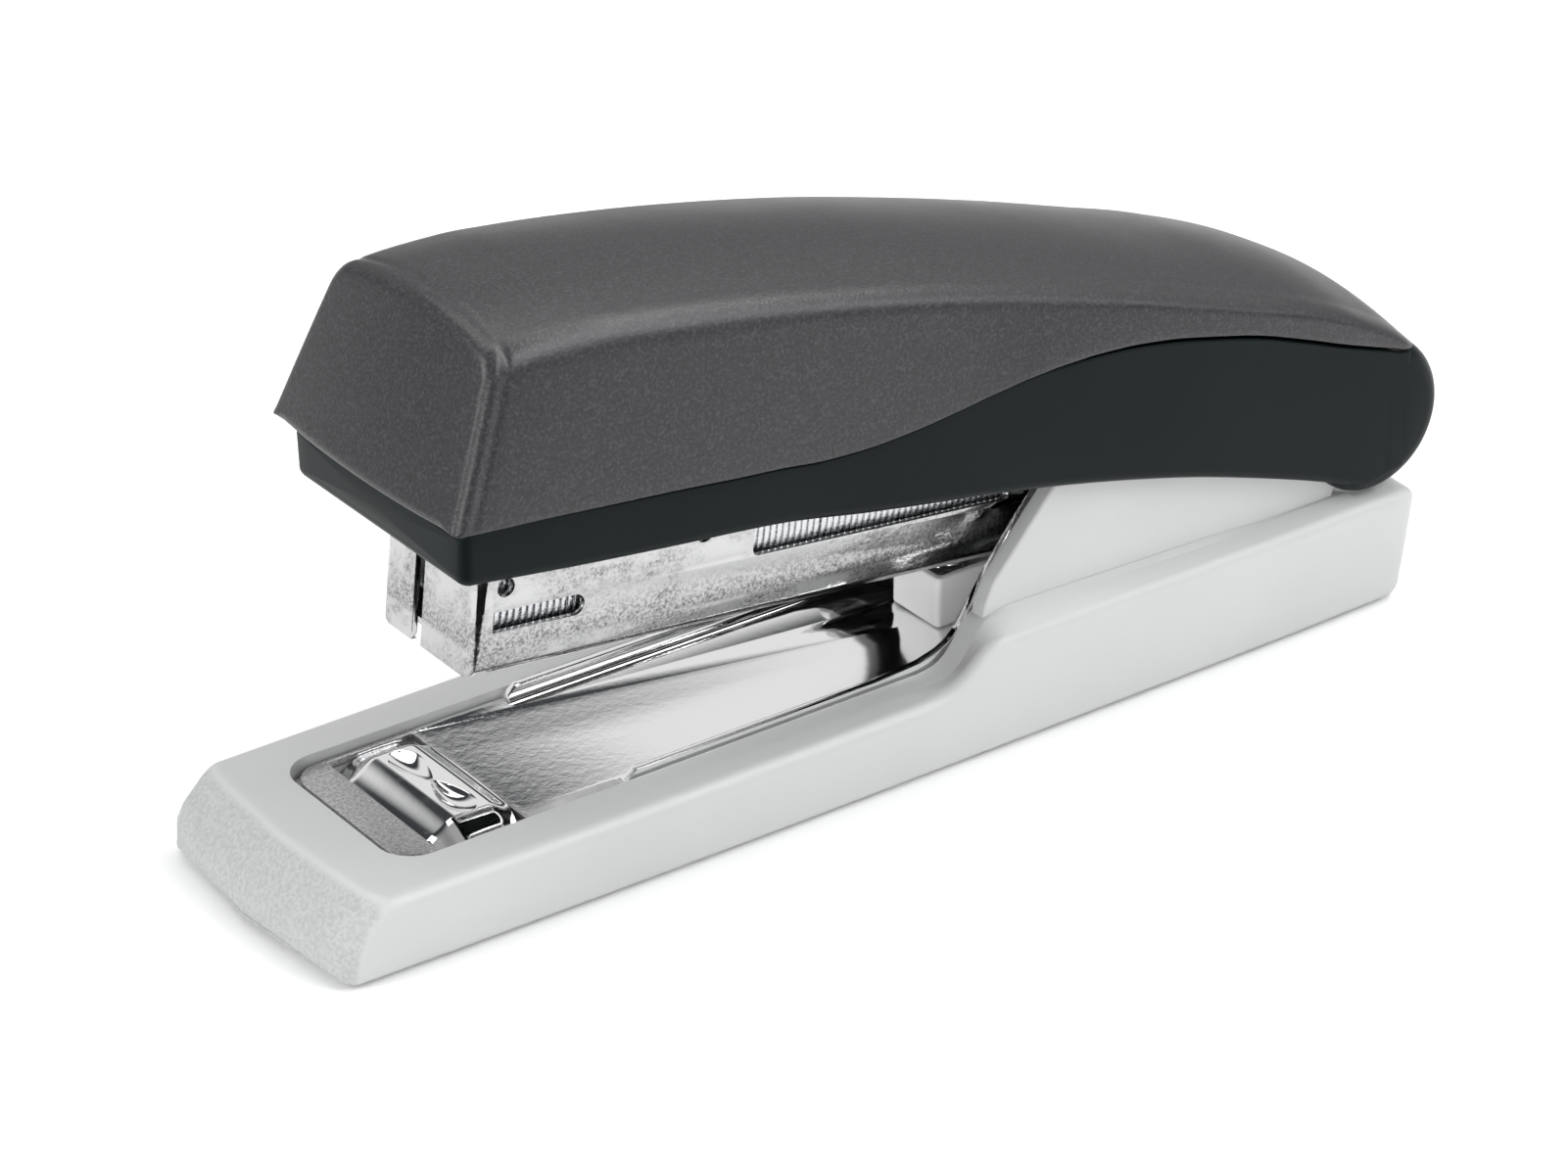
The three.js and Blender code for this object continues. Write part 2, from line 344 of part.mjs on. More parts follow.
// Pusher: a saddle over the rail, tied under the rail's edges to a block on the rod.
let pusher = slabYZ([[-6.4, -6.8], [-6.4, 1.2], [6.4, 1.2], [6.4, -6.8]], PUSH0, PUSH1);
pusher = cut(pusher, slabYZ([[-RAIL_HALF - 0.25, -6.1], [-RAIL_HALF - 0.25, RAIL_TOP + 0.25], [RAIL_HALF + 0.25, RAIL_TOP + 0.25], [RAIL_HALF + 0.25, -6.1],
  [RAIL_HALF - 0.95, -6.1], [RAIL_HALF - 0.95, RAIL_TOP - 0.95], [-RAIL_HALF + 0.95, RAIL_TOP - 0.95], [-RAIL_HALF + 0.95, -6.1]], PUSH0 - 1, PUSH1 + 1),
  rodX(PUSH0 - 1, PUSH1 + 1, 0, -3.1, 1.3));
add(magGroup, 'pusher', pusher, 'steel');

// Steel cap on the return spring: an inverted cup whose rim dips into the white sleeve.
const capLocal = (x, z) => { const dx = x - HINGE.x, dz = z - HINGE.z, c = Math.cos(MAG_TILT), s = Math.sin(MAG_TILT); return [dx * c - dz * s, dx * s + dz * c]; };
const capOut = [[-0.15, 12.75], [5.9, 12.75], [5.9, 18.0], [-0.15, 18.6]].map(p => capLocal(...p));
const capIn = [[0.45, 12.0], [5.3, 12.0], [5.3, 17.4], [0.45, 17.9]].map(p => capLocal(...p));
add(magGroup, 'spring_cap', cut(slabXZ(capOut, -2.6, 2.6), slabXZ(capIn, -2.05, 2.05)), 'chrome');

// ---------------------------------------------------------------- handle
// Outer form of the handle: crowned top, soft shoulders, sides that widen downwards.
function handleRing(inset, dropTop) {
  return (x) => {
    const H = topZ(x) - dropTop, S = H - shoulderDrop(x) * (1 - 0.08 * inset), Ws = shoulderHalf(x) - inset, Wb = footHalf(x) - inset;
    const zw = waveZ(x), zb = Math.min(zw - 6, S - 8), slope = (Wb - Ws) / Math.max(6, S - zw), k = 0.0128, yc = Ws - 3.0, zc = H - k * yc * yc;
    const out = [[0, H], [yc * 0.45, H - k * (yc * 0.45) ** 2], [yc * 0.8, H - k * (yc * 0.8) ** 2], [yc, zc]];
    for (const t of [0.3, 0.6, 0.85]) {
      const a = (1 - t) ** 2, b = 2 * t * (1 - t), c = t * t;
      out.push([a * yc + b * (Ws - 0.45) + c * Ws, a * zc + b * (zc - 0.45) + c * S]);
    }
    out.push([Ws, S]);
    for (const t of [0.25, 0.6, 1]) out.push([Ws + slope * (S - zb) * t + 0.35 * t * (1 - t), S + (zb - S) * t]);
    return [...out, ...out.slice(1).map(p => [-p[0], p[1]]).reverse()];
  };
}
const hs = [...range(-64, -52, 4), -47, -41, -34, -26, -18, -10, -2, 6, 14, 22, 30, 36, 41, 45, 48, 50.4, 52.5];
const frontArc = (x0, bow, w) => [...range(-20, 20, 14).map(y => [x0 - bow * Math.max(0, 1 - (y / w) ** 2), y]), [90, 20], [90, -20]];
const coverFront = slabXY(frontArc(-60.6, 1.0, 14.4), 15, 62, 0.446, 40);
const coverFrontIn = slabXY(frontArc(-58.8, 1.0, 13), 10, 66, 0.446, 40);
const waveX = range(-65, 52, 39);
const aboveWave = slabXZ([...waveX.map(x => [x, waveZ(x)]), [60, 31], [60, 70], [-65, 70]], -20, 20);
const coverOuter = loft(hs, handleRing(0, 0)).intersect(coverFront).intersect(aboveWave);
const coverInner = loft(hs, handleRing(1.5, 1.6)).intersect(coverFrontIn);
const tailWall = block(-90, 45.5, -20, 20, 10, 80);
add(handleGroup, 'top_cover', cut(coverOuter, coverInner.intersect(tailWall)), 'cover');

// Lower handle moulding: skirts, closed nose, an inner box that carries the driver, and the round rear end.
const plan = [...range(-14.5, 14.5, 12).map(y => [-59.2 - 0.3 * (1 - (y / 13.4) ** 2) + 0.6 * Math.max(0, Math.abs(y) - 12.9) ** 1.5, y]),
  ...range(-56, 56, 16).slice(1).map(x => [x, frameHalf(x)]), ...range(-56, 56, 16).slice(1).reverse().map(x => [x, -frameHalf(x)])];
const planClip = slabXY(plan.filter(p => Math.abs(p[1]) <= frameHalf(p[0]) + 0.01), 0, 70);
const lowerPts = range(-62, 43.0, 26).map(x => [x, lowerZ(x)]);
const skirtOutline = [...lowerPts, ...arc(HINGE.x, HINGE.z, BARREL_R, -90, 62, 12), [46, 40], [-62, 50]];
const skirts = slabXZ(skirtOutline, -16, 16).intersect(planClip).intersect(slabXZ([...waveX.map(x => [x, waveZ(x) - 0.35]), [60, 30.6], [60, 0], [-65, 0]].reverse(), -20, 20));
const barrel = latheY([[0, -HANDLE_HALF], ...range(-HANDLE_HALF, HANDLE_HALF, 10).map(y => [BARREL_R - 0.4 * Math.abs(y / HANDLE_HALF) ** 8 + BARREL_CROWN * (1 - (y / HANDLE_HALF) ** 2), y]), [0, HANDLE_HALF]], HINGE.x, HINGE.z, 40);
const belowCover = slabXZ([...waveX.map(x => [x, waveZ(x) - 0.35]), [60, 30.6], [60, 0], [-65, 0]].reverse(), -20, 20);
const rearSector = slabXZ([[HINGE.x, HINGE.z], [HINGE.x + 14, HINGE.z - 3.4], [HINGE.x + 14, HINGE.z + 14], [HINGE.x + 1.2, HINGE.z + 14], [HINGE.x + 0.5, HINGE.z + 5]], -16, 16);
const rearWall = barrel.intersect(rearSector).intersect(belowCover);
const webTop = [[-61, 49.2], [-50, 48.2], [-30, 44.2], [-5, 38.9], [15, 34.6], [30, 31.2], [39, 28.6], [45, 27.0]];
const webZ = table(webTop);
const cav = (x) => webZ(x) - 1.5;
const innerBox = slabXZ([...range(-58.4, 44, 20).map(x => [x, waveZ(x) - 2.2]), ...range(-58.4, 44, 20).reverse().map(x => [x, Math.max(webZ(x), waveZ(x) - 0.6)])], -11.0, 11.0)
  .intersect(loft(hs, handleRing(1.95, 2.1))).intersect(slabXY(frontArc(-57.9, 0.9, 13), 10, 62, 0.446, 40));
const SECTOR = -13.7;
const cavitySide = slabXZ([[-70, 0], [60, 0], [60, HINGE.z + 16.2 * Math.tan(SECTOR * Math.PI / 180)], ...arc(HINGE.x, HINGE.z, 5.8, SECTOR, 75, 6), ...range(-70, 42, 20).reverse().map(x => [x, waveZ(x) - 1.9])], -SKIRT_IN, SKIRT_IN);
const noseBlock = slabXY(frontArc(-57.4, 0.8, 13), 0, 62, 0.12, 35);
const cavityUp = slabXZ([[-57.2, 20], ...range(-57.2, 41, 16).map(x => [x, cav(x)]).reverse().reverse(), [41, 20]], -9.6, 9.6);
let frame = join(skirts, rearWall, innerBox);
const rivetX = -47.5;
frame = cut(frame, cavitySide.intersect(noseBlock), cavityUp, rodY(HINGE.x, HINGE.z, PIN_R + 0.25, -13.6, 13.6, 24),
  rodZ(rivetX, -4.2, 30, 60, 1.2, 12), rodZ(rivetX, 4.2, 30, 60, 1.2, 12));
add(handleGroup, 'handle_frame', frame, 'frame');

// Driver: a spring-steel blade under the nose, riveted to the frame's top web.
const dLocal = (p) => { const c = Math.cos(MAG_TILT), s = Math.sin(MAG_TILT); return [HINGE.x + p[0] * c + p[1] * s, HINGE.z - p[0] * s + p[1] * c]; };
const tip = [-97.2, 2.0], lean = Math.tan(3 * Math.PI / 180);
const bladePts = [[tip[0] - 0.25, tip[1]], [tip[0] + 0.25, tip[1]], [tip[0] + 0.25 + 14.0 * lean, tip[1] + 14.0]].map(dLocal);
const bladeTop = [[tip[0] - 0.25 + 14.6 * lean, tip[1] + 14.6]].map(dLocal);
const foot = bladePts[2];
const footZ = (x) => cav(x) - 0.3;
const blade = slabXZ([bladePts[0], bladePts[1], [foot[0] + 0.0, footZ(foot[0]) - 0.5], [-44.5, footZ(-44.5) - 0.5], [-44.5, footZ(-44.5)], [foot[0] - 0.5, footZ(foot[0] - 0.5)]], -6.45, 6.45);
let driver = blade;
for (const s of [-1, 1]) driver = cut(driver, rodZ(rivetX, s * 4.2, 30, 60, 1.2, 12));
add(handleGroup, 'driver_blade', driver, 'steel');
for (const [s, n] of [[-1, 'driver_rivet_left'], [1, 'driver_rivet_right']])
  add(handleGroup, n, join(rodZ(rivetX, s * 4.2, footZ(rivetX) - 1.8, webZ(rivetX) + 0.8, 0.95, 12), rodZ(rivetX, s * 4.2, footZ(rivetX) - 1.9, footZ(rivetX) - 1.1, 1.9, 12), rodZ(rivetX, s * 4.2, webZ(rivetX) + 0.6, webZ(rivetX) + 1.2, 1.7, 12)), 'steel');

// Leaf spring between the frame's web and the magazine: it lifts the handle after each stroke.
const leafX = range(-41.5, -12, 8);
const leafZ = (x) => { const t = (x + 41.5) / 29.5; return (cav(x) - 0.35) * t * t * (3 - 2 * t) + (1 - t * t * (3 - 2 * t)) * (36.2); };
const leaf = slabXZ([...leafX.map(x => [x, leafZ(x) - 0.45]), ...leafX.slice().reverse().map(x => [x, leafZ(x)])], -3.2, 3.2);
add(handleGroup, 'handle_spring', leaf, 'steel');

export default object;
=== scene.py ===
import json
import math
import bpy
import bmesh
import numpy as np
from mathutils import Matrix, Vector
from mathutils.geometry import tessellate_polygon


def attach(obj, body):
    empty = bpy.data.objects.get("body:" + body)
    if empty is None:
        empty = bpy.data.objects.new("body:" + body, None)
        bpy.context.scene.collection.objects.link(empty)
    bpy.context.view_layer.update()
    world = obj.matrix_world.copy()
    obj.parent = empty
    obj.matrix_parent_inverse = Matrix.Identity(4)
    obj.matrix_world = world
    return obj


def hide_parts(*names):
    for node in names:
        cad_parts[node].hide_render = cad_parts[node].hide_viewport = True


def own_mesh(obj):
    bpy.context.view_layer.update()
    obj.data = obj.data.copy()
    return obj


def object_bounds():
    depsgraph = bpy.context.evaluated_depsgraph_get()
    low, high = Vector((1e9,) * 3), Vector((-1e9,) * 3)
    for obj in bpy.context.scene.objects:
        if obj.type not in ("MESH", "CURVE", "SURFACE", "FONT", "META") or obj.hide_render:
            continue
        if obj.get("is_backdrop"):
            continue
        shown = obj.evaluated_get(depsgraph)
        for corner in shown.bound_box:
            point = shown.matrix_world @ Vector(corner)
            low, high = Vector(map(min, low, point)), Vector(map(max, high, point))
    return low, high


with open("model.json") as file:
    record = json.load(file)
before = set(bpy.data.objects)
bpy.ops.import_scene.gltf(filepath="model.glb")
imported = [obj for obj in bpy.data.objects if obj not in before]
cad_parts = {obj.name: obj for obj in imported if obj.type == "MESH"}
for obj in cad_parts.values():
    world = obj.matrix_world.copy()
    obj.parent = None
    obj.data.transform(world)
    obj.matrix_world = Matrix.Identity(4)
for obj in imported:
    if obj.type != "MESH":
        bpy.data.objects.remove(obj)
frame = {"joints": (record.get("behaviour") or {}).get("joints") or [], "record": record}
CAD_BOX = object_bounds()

for _n in ("Cube", "Light", "Camera"):
    if _n in bpy.data.objects:
        bpy.data.objects.remove(bpy.data.objects[_n])

# ------------------------------------------------------------------ frame
JOINTS = {j["name"]: j for j in frame["joints"]}
HX, HZ = 44.3, JOINTS["magazine_hinge"]["pos_m"][2] * 1000
XS = JOINTS["magazine_hinge"]["pos_m"][0] * 1000 - HX      # shift from drawing x to row x, mm
TILT = math.radians(6.1)
CT, ST = math.cos(TILT), math.sin(TILT)
R_BARREL, CROWN, HALF = 7.5, 1.45, 14.4
SKIRT_IN, CHEEK_OUT, CHEEK_IN, EAR_OUT, EAR_IN = 12.5, 12.2, 10.3, 9.9, 9.1
PLATE_TOP = 6.9
MF, MB, MT, MH, SH = -98.7, -9.45, 5.5, 7.6, 0.6
RAIL_HALF, RAIL_TOP = 5.7, 0.45
PITCH = 0.7


def table(rows):
    x = np.array([r[0] for r in rows], float)
    y = np.array([r[1] for r in rows], float)
    h, d = np.diff(x), np.diff(y) / np.diff(x)
    m = np.zeros(len(x))
    m[0], m[-1] = d[0], d[-1]
    for i in range(1, len(x) - 1):
        if d[i - 1] * d[i] > 0:
            a, b = 2 * h[i] + h[i - 1], h[i] + 2 * h[i - 1]
            m[i] = (a + b) / (a / d[i - 1] + b / d[i])

    def f(v):
        v = np.asarray(v, float)
        i = np.clip(np.searchsorted(x, v) - 1, 0, len(x) - 2)
        t = (v - x[i]) / h[i]
        c = y[i] * (2 * t**3 - 3 * t**2 + 1) + m[i] * h[i] * (t**3 - 2 * t**2 + t) + y[i + 1] * (3 * t**2 - 2 * t**3) + m[i + 1] * h[i] * (t**3 - t**2)
        c = np.where(v < x[0], y[0] + m[0] * (v - x[0]), c)
        return np.where(v > x[-1], y[-1] + m[-1] * (v - x[-1]), c)
    return f


top_z = table([[-62, 54.2], [-58, 54.9], [-55, 55.35], [-50, 55.6], [-45, 55.5], [-40, 55.0], [-30, 53.6], [-19, 51.6], [-8, 49.2], [3, 46.3], [14.7, 42.9], [26.8, 39.0], [33, 37.0], [39, 34.6], [43, 32.5], [46, 30.7], [48.5, 28.6], [50.5, 26.6], [53.5, 23.2]])
shoulder_drop = table([[-62, 4.2], [-50, 4.1], [-38, 3.9], [-12, 3.5], [20, 3.2], [54, 3.0]])
shoulder_half = table([[-62, 12.45], [-55, 12.7], [-30, 13.3], [0, 13.7], [15, 14.0], [30, 14.45], [42, 14.8], [54, 14.8]])
foot_half = table([[-62, 14.5], [-40, 14.9], [-10, 15.1], [20, 15.1], [42, 15.0], [54, 15.0]])
wave_z = table([[-66, 40.7], [-60.8, 39.8], [-51.6, 38.95], [-44.5, 38.2], [-37.6, 37.5], [-31.4, 36.8], [-27.3, 36.4], [-22.6, 35.8], [-17.8, 35.6], [-13, 35.8], [-8.1, 36.3], [-3.2, 36.9], [1.8, 37.3], [6.8, 37.2], [12, 36.8], [17.2, 36.0], [22.5, 34.8], [27.9, 33.4], [33.4, 31.5], [39, 29.4], [44.8, 27.4], [46.6, 26.8], [48.5, 26.7], [50.5, 27.3], [56, 29.5]])
lower_z = table([[-62, 34.3], [-60, 34.0], [-57.1, 33.65], [-38.9, 31.55], [-26.6, 30.2], [-17.0, 28.35], [2.75, 24.85], [18.5, 21.1], [30.6, 17.35], [40.2, 13.85], [43.0, 12.6]])
frame_half = table([[-64, 13.3], [-58, 13.5], [-45, 14.0], [-20, 14.3], [0, 14.4], [56, 14.4]])
base_top = table([[-80, 7.7], [-8.8, 7.8], [-6.8, 8.1], [-5.6, 8.8], [-4.6, 10.0], [-3.6, 11.5], [-2.6, 12.45], [-1.5, 12.64], [6, 12.55], [20, 12.2], [30, 12.05], [40, 12.1], [46, 11.6], [49.6, 10.9]])
base_ridge = table([[-80, 6.85], [-12.1, 6.85], [-10.45, 7.0], [-9.1, 7.35], [-7.6, 8.1], [-6.5, 8.95], [-5.4, 10.0], [-4.6, 10.32], [-3.5, 10.37], [48, 10.35], [50, 10.2]])
base_mid = table([[-80, 15.0], [-74, 15.1], [-60, 15.4], [-20, 15.75], [20, 15.7], [48, 15.2], [52, 14.6]])
web_z = table([[-61, 49.2], [-50, 48.2], [-30, 44.2], [-5, 38.9], [15, 34.6], [30, 31.2], [39, 28.6], [45, 27.0]])


def smooth(v, a, b):
    t = np.clip((np.asarray(v, float) - a) / (b - a), 0, 1)
    return t * t * (3 - 2 * t)


# ------------------------------------------------------------------ mesh helpers
def to_row(V):
    V = np.asarray(V, float)
    return (V + np.array([XS, 0, 0])) * 0.001


def mag(V):
    """Magazine coordinates (hinge at the origin) to drawing coordinates."""
    V = np.asarray(V, float)
    return np.stack([HX + V[:, 0] * CT + V[:, 2] * ST, V[:, 1], HZ - V[:, 0] * ST + V[:, 2] * CT], 1)


def new(name, V, F, where=None):
    V = np.asarray(V, float)
    if where:
        V = where(V)
    me = bpy.data.meshes.new(name)
    me.from_pydata([tuple(v) for v in to_row(V)], [], [tuple(int(i) for i in f) for f in F])
    me.validate()
    ob = bpy.data.objects.new(name, me)
    bpy.context.scene.collection.objects.link(ob)
    clean(ob)
    return ob


def clean(ob, dist=6e-7):
    bm = bmesh.new()
    bm.from_mesh(ob.data)
    bmesh.ops.remove_doubles(bm, verts=bm.verts, dist=dist)
    bmesh.ops.dissolve_degenerate(bm, dist=1e-7, edges=bm.edges)
    bmesh.ops.recalc_face_normals(bm, faces=bm.faces)
    bm.to_mesh(ob.data)
    bm.free()
    return ob


def bake(ob):
    """Applies the object's modifiers to its mesh."""
    bpy.context.view_layer.update()
    deps = bpy.context.evaluated_depsgraph_get()
    me = bpy.data.meshes.new_from_object(ob.evaluated_get(deps))
    old = ob.data
    ob.modifiers.clear()
    ob.data = me
    bpy.data.meshes.remove(old)
    return ob


def open_edges(ob):
    bm = bmesh.new()
    bm.from_mesh(ob.data)
    n = sum(1 for e in bm.edges if not e.is_manifold)
    bm.free()
    return n


def boolean(a, b, op="DIFFERENCE", keep=False):
    m = a.modifiers.new("b", "BOOLEAN")
    m.operation = op
    m.object = b
    m.solver = "MANIFOLD"
    if open_edges(a) or open_edges(b):
        m.solver = "EXACT"
    bake(a)
    if len(a.data.polygons) == 0:
        raise RuntimeError("boolean emptied " + a.name)
    if not keep:
        bpy.data.objects.remove(b)
    return a


def cut(a, *bs):
    for b in bs:
        boolean(a, b)
    return a


def join(a, *bs):
    for b in bs:
        boolean(a, b, "UNION")
    return a


def meet(a, *bs):
    for b in bs:
        boolean(a, b, "INTERSECT")
    return a


def bevel(ob, width, segs=3, angle=35, clamp=True):
    m = ob.modifiers.new("bev", "BEVEL")
    m.width = width * 0.001
    m.segments = segs
    m.limit_method = "ANGLE"
    m.angle_limit = math.radians(angle)
    m.use_clamp_overlap = clamp
    m.miter_outer = "MITER_ARC"
    return bake(ob)


def shade(ob, angle=38):
    ob.data.shade_smooth()
    ob.data.set_sharp_from_angle(angle=math.radians(angle))
    return ob


def rounded(points, radii, seg=6, even=False):
    """Polygon with each corner rounded to its radius; a constant number of points per corner.
    even keeps every point distinct, for rings that are lofted."""
    P = [np.array(p, float) for p in points]
    n, out = len(P), []
    for i, p in enumerate(P):
        r = radii[i] if hasattr(radii, "__len__") else radii
        if r <= 0 and not even:
            out += [p] * (seg + 1)
            continue
        r = max(r, 0.03)
        a, b = P[i - 1] - p, P[(i + 1) % n] - p
        la, lb = np.linalg.norm(a), np.linalg.norm(b)
        a, b = a / la, b / lb
        ang = math.acos(max(-1, min(1, float(a @ b))))
        if ang > math.pi - 1e-3:
            out += [p + a * 0.02 * (seg / 2 - k) for k in range(seg + 1)] if even else [p] * (seg + 1)
            continue
        d = min(r / math.tan(ang / 2), la * 0.49, lb * 0.49)
        rr = d * math.tan(ang / 2)
        c = p + (a + b) / np.linalg.norm(a + b) * (rr / math.sin(ang / 2))
        s, e = p + a * d - c, p + b * d - c
        a0, a1 = math.atan2(s[1], s[0]), math.atan2(e[1], e[0])
        da = (a1 - a0 + math.pi) % (2 * math.pi) - math.pi
        out += [c + rr * np.array([math.cos(a0 + da * k / seg), math.sin(a0 + da * k / seg)]) for k in range(seg + 1)]
    return np.array(out)


def dedupe(P, eps=1e-4):
    out = [P[0]]
    for p in P[1:]:
        if np.linalg.norm(p - out[-1]) > eps:
            out.append(p)
    if np.linalg.norm(out[0] - out[-1]) <= eps:
        out.pop()
    return np.array(out)


def prism(name, pts, lo, hi, axis="y", r=0.0, seg=4, where=None, tidy=True, lean=None):
    """Outline extruded along one axis. r rounds both end edges."""
    P = dedupe(np.array(pts, float)) if tidy else np.array(pts, float)
    area = 0.5 * np.sum(P[:, 0] * np.roll(P[:, 1], -1) - np.roll(P[:, 0], -1) * P[:, 1])
    if area < 0:
        P = P[::-1]
    n = len(P)
    t = np.roll(P, -1, 0) - np.roll(P, 1, 0)
    t /= np.linalg.norm(t, axis=1)[:, None] + 1e-12
    nrm = np.stack([t[:, 1], -t[:, 0]], 1)
    rows = []
    if r > 0:
        for k in range(seg + 1):
            f = math.pi / 2 * k / seg
            rows.append((P - nrm * r * (1 - math.sin(f)), lo + r * (1 - math.cos(f))))
        for k in range(seg + 1):
            f = math.pi / 2 * (1 - k / seg)
            rows.append((P - nrm * r * (1 - math.sin(f)), hi - r * (1 - math.cos(f))))
    else:
        rows = [(P, lo), (P, hi)]
    V, F = [], []
    for Q, h in rows:
        hcol = np.full(n, h)
        if axis == "y":
            V.append(np.stack([Q[:, 0], hcol, Q[:, 1]], 1))
        elif axis == "z":
            x = Q[:, 0] + (lean[0] * (h - lean[1]) if lean else 0)
            V.append(np.stack([x, Q[:, 1], hcol], 1))
        else:
            V.append(np.stack([hcol, Q[:, 0], Q[:, 1]], 1))
    m = len(rows)
    for s in range(m - 1):
        for i in range(n):
            j = (i + 1) % n
            F.append((s * n + i, s * n + j, (s + 1) * n + j, (s + 1) * n + i))
    for s, flip in ((0, True), (m - 1, False)):
        tri = tessellate_polygon([[Vector((p[0], p[1], 0)) for p in rows[s][0]]])
        for tr in tri:
            F.append([s * n + k for k in (tr[::-1] if flip else tr)])
    return new(name, np.concatenate(V), F, where)


def box(name, x0, x1, y0, y1, z0, z1, where=None, r=0.0):
    P = [(y0, z0), (y1, z0), (y1, z1), (y0, z1)]
    if r:
        P = rounded(P, r, 4)
    return prism(name, P, x0, x1, "x", r=r, where=where)


def lathe(name, rows, centre, axis="y", sides=96, where=None):
    """Ring about an axis; rows are (radius, height), starting and ending on the axis."""
    V, F = [], []
    n = len(rows)
    for s in range(sides):
        a = 2 * math.pi * s / sides
        for rad, h in rows:
            c, q = rad * math.cos(a), rad * math.sin(a)
            V.append({"y": (centre[0] + c, h, centre[2] + q), "z": (centre[0] + c, centre[1] + q, h), "x": (h, centre[1] + c, centre[2] + q)}[axis])
    for s in range(sides):
        for k in range(n - 1):
            a, b = s * n + k, ((s + 1) % sides) * n + k
            F.append((a, b, b + 1, a + 1))
    return new(name, V, F, where)


def rod(name, centre, r, lo, hi, axis="y", sides=48, dome=0.0, where=None, chamfer=0.1):
    rows = [(0, lo), (r - chamfer, lo), (r, lo + chamfer), (r, hi - chamfer), (r - chamfer, hi), (0, hi)]
    if dome:
        rows = [(r * math.sin(math.pi / 2 * k / 8), lo - dome * math.cos(math.pi / 2 * k / 8) + dome) for k in range(9)]
        rows += [(r * math.cos(math.pi / 2 * k / 8), hi - dome + dome * math.sin(math.pi / 2 * k / 8)) for k in range(9)]
    return lathe(name, rows, centre, axis, sides, where)


def tube(name, pts, r, sides=12, where=None):
    P = np.array(pts, float)
    T = np.gradient(P, axis=0)
    T /= np.linalg.norm(T, axis=1)[:, None]
    up = np.array([0.1, 0.2, 1.0]) if abs(T[0][2]) < 0.9 else np.array([1.0, 0, 0])
    u = np.cross(T[0], up)
    u /= np.linalg.norm(u)
    V, F = [], []
    for k in range(len(P)):
        u = u - T[k] * (u @ T[k])
        u /= np.linalg.norm(u)
        v = np.cross(T[k], u)
        for s in range(sides):
            a = 2 * math.pi * s / sides
            V.append(P[k] + r * (math.cos(a) * u + math.sin(a) * v))
    for k in range(len(P) - 1):
        for s in range(sides):
            a, b = k * sides + s, k * sides + (s + 1) % sides
            F.append((a, b, b + sides, a + sides))
    F.append(list(range(sides))[::-1])
    F.append([(len(P) - 1) * sides + s for s in range(sides)])
    return new(name, V, F, where)


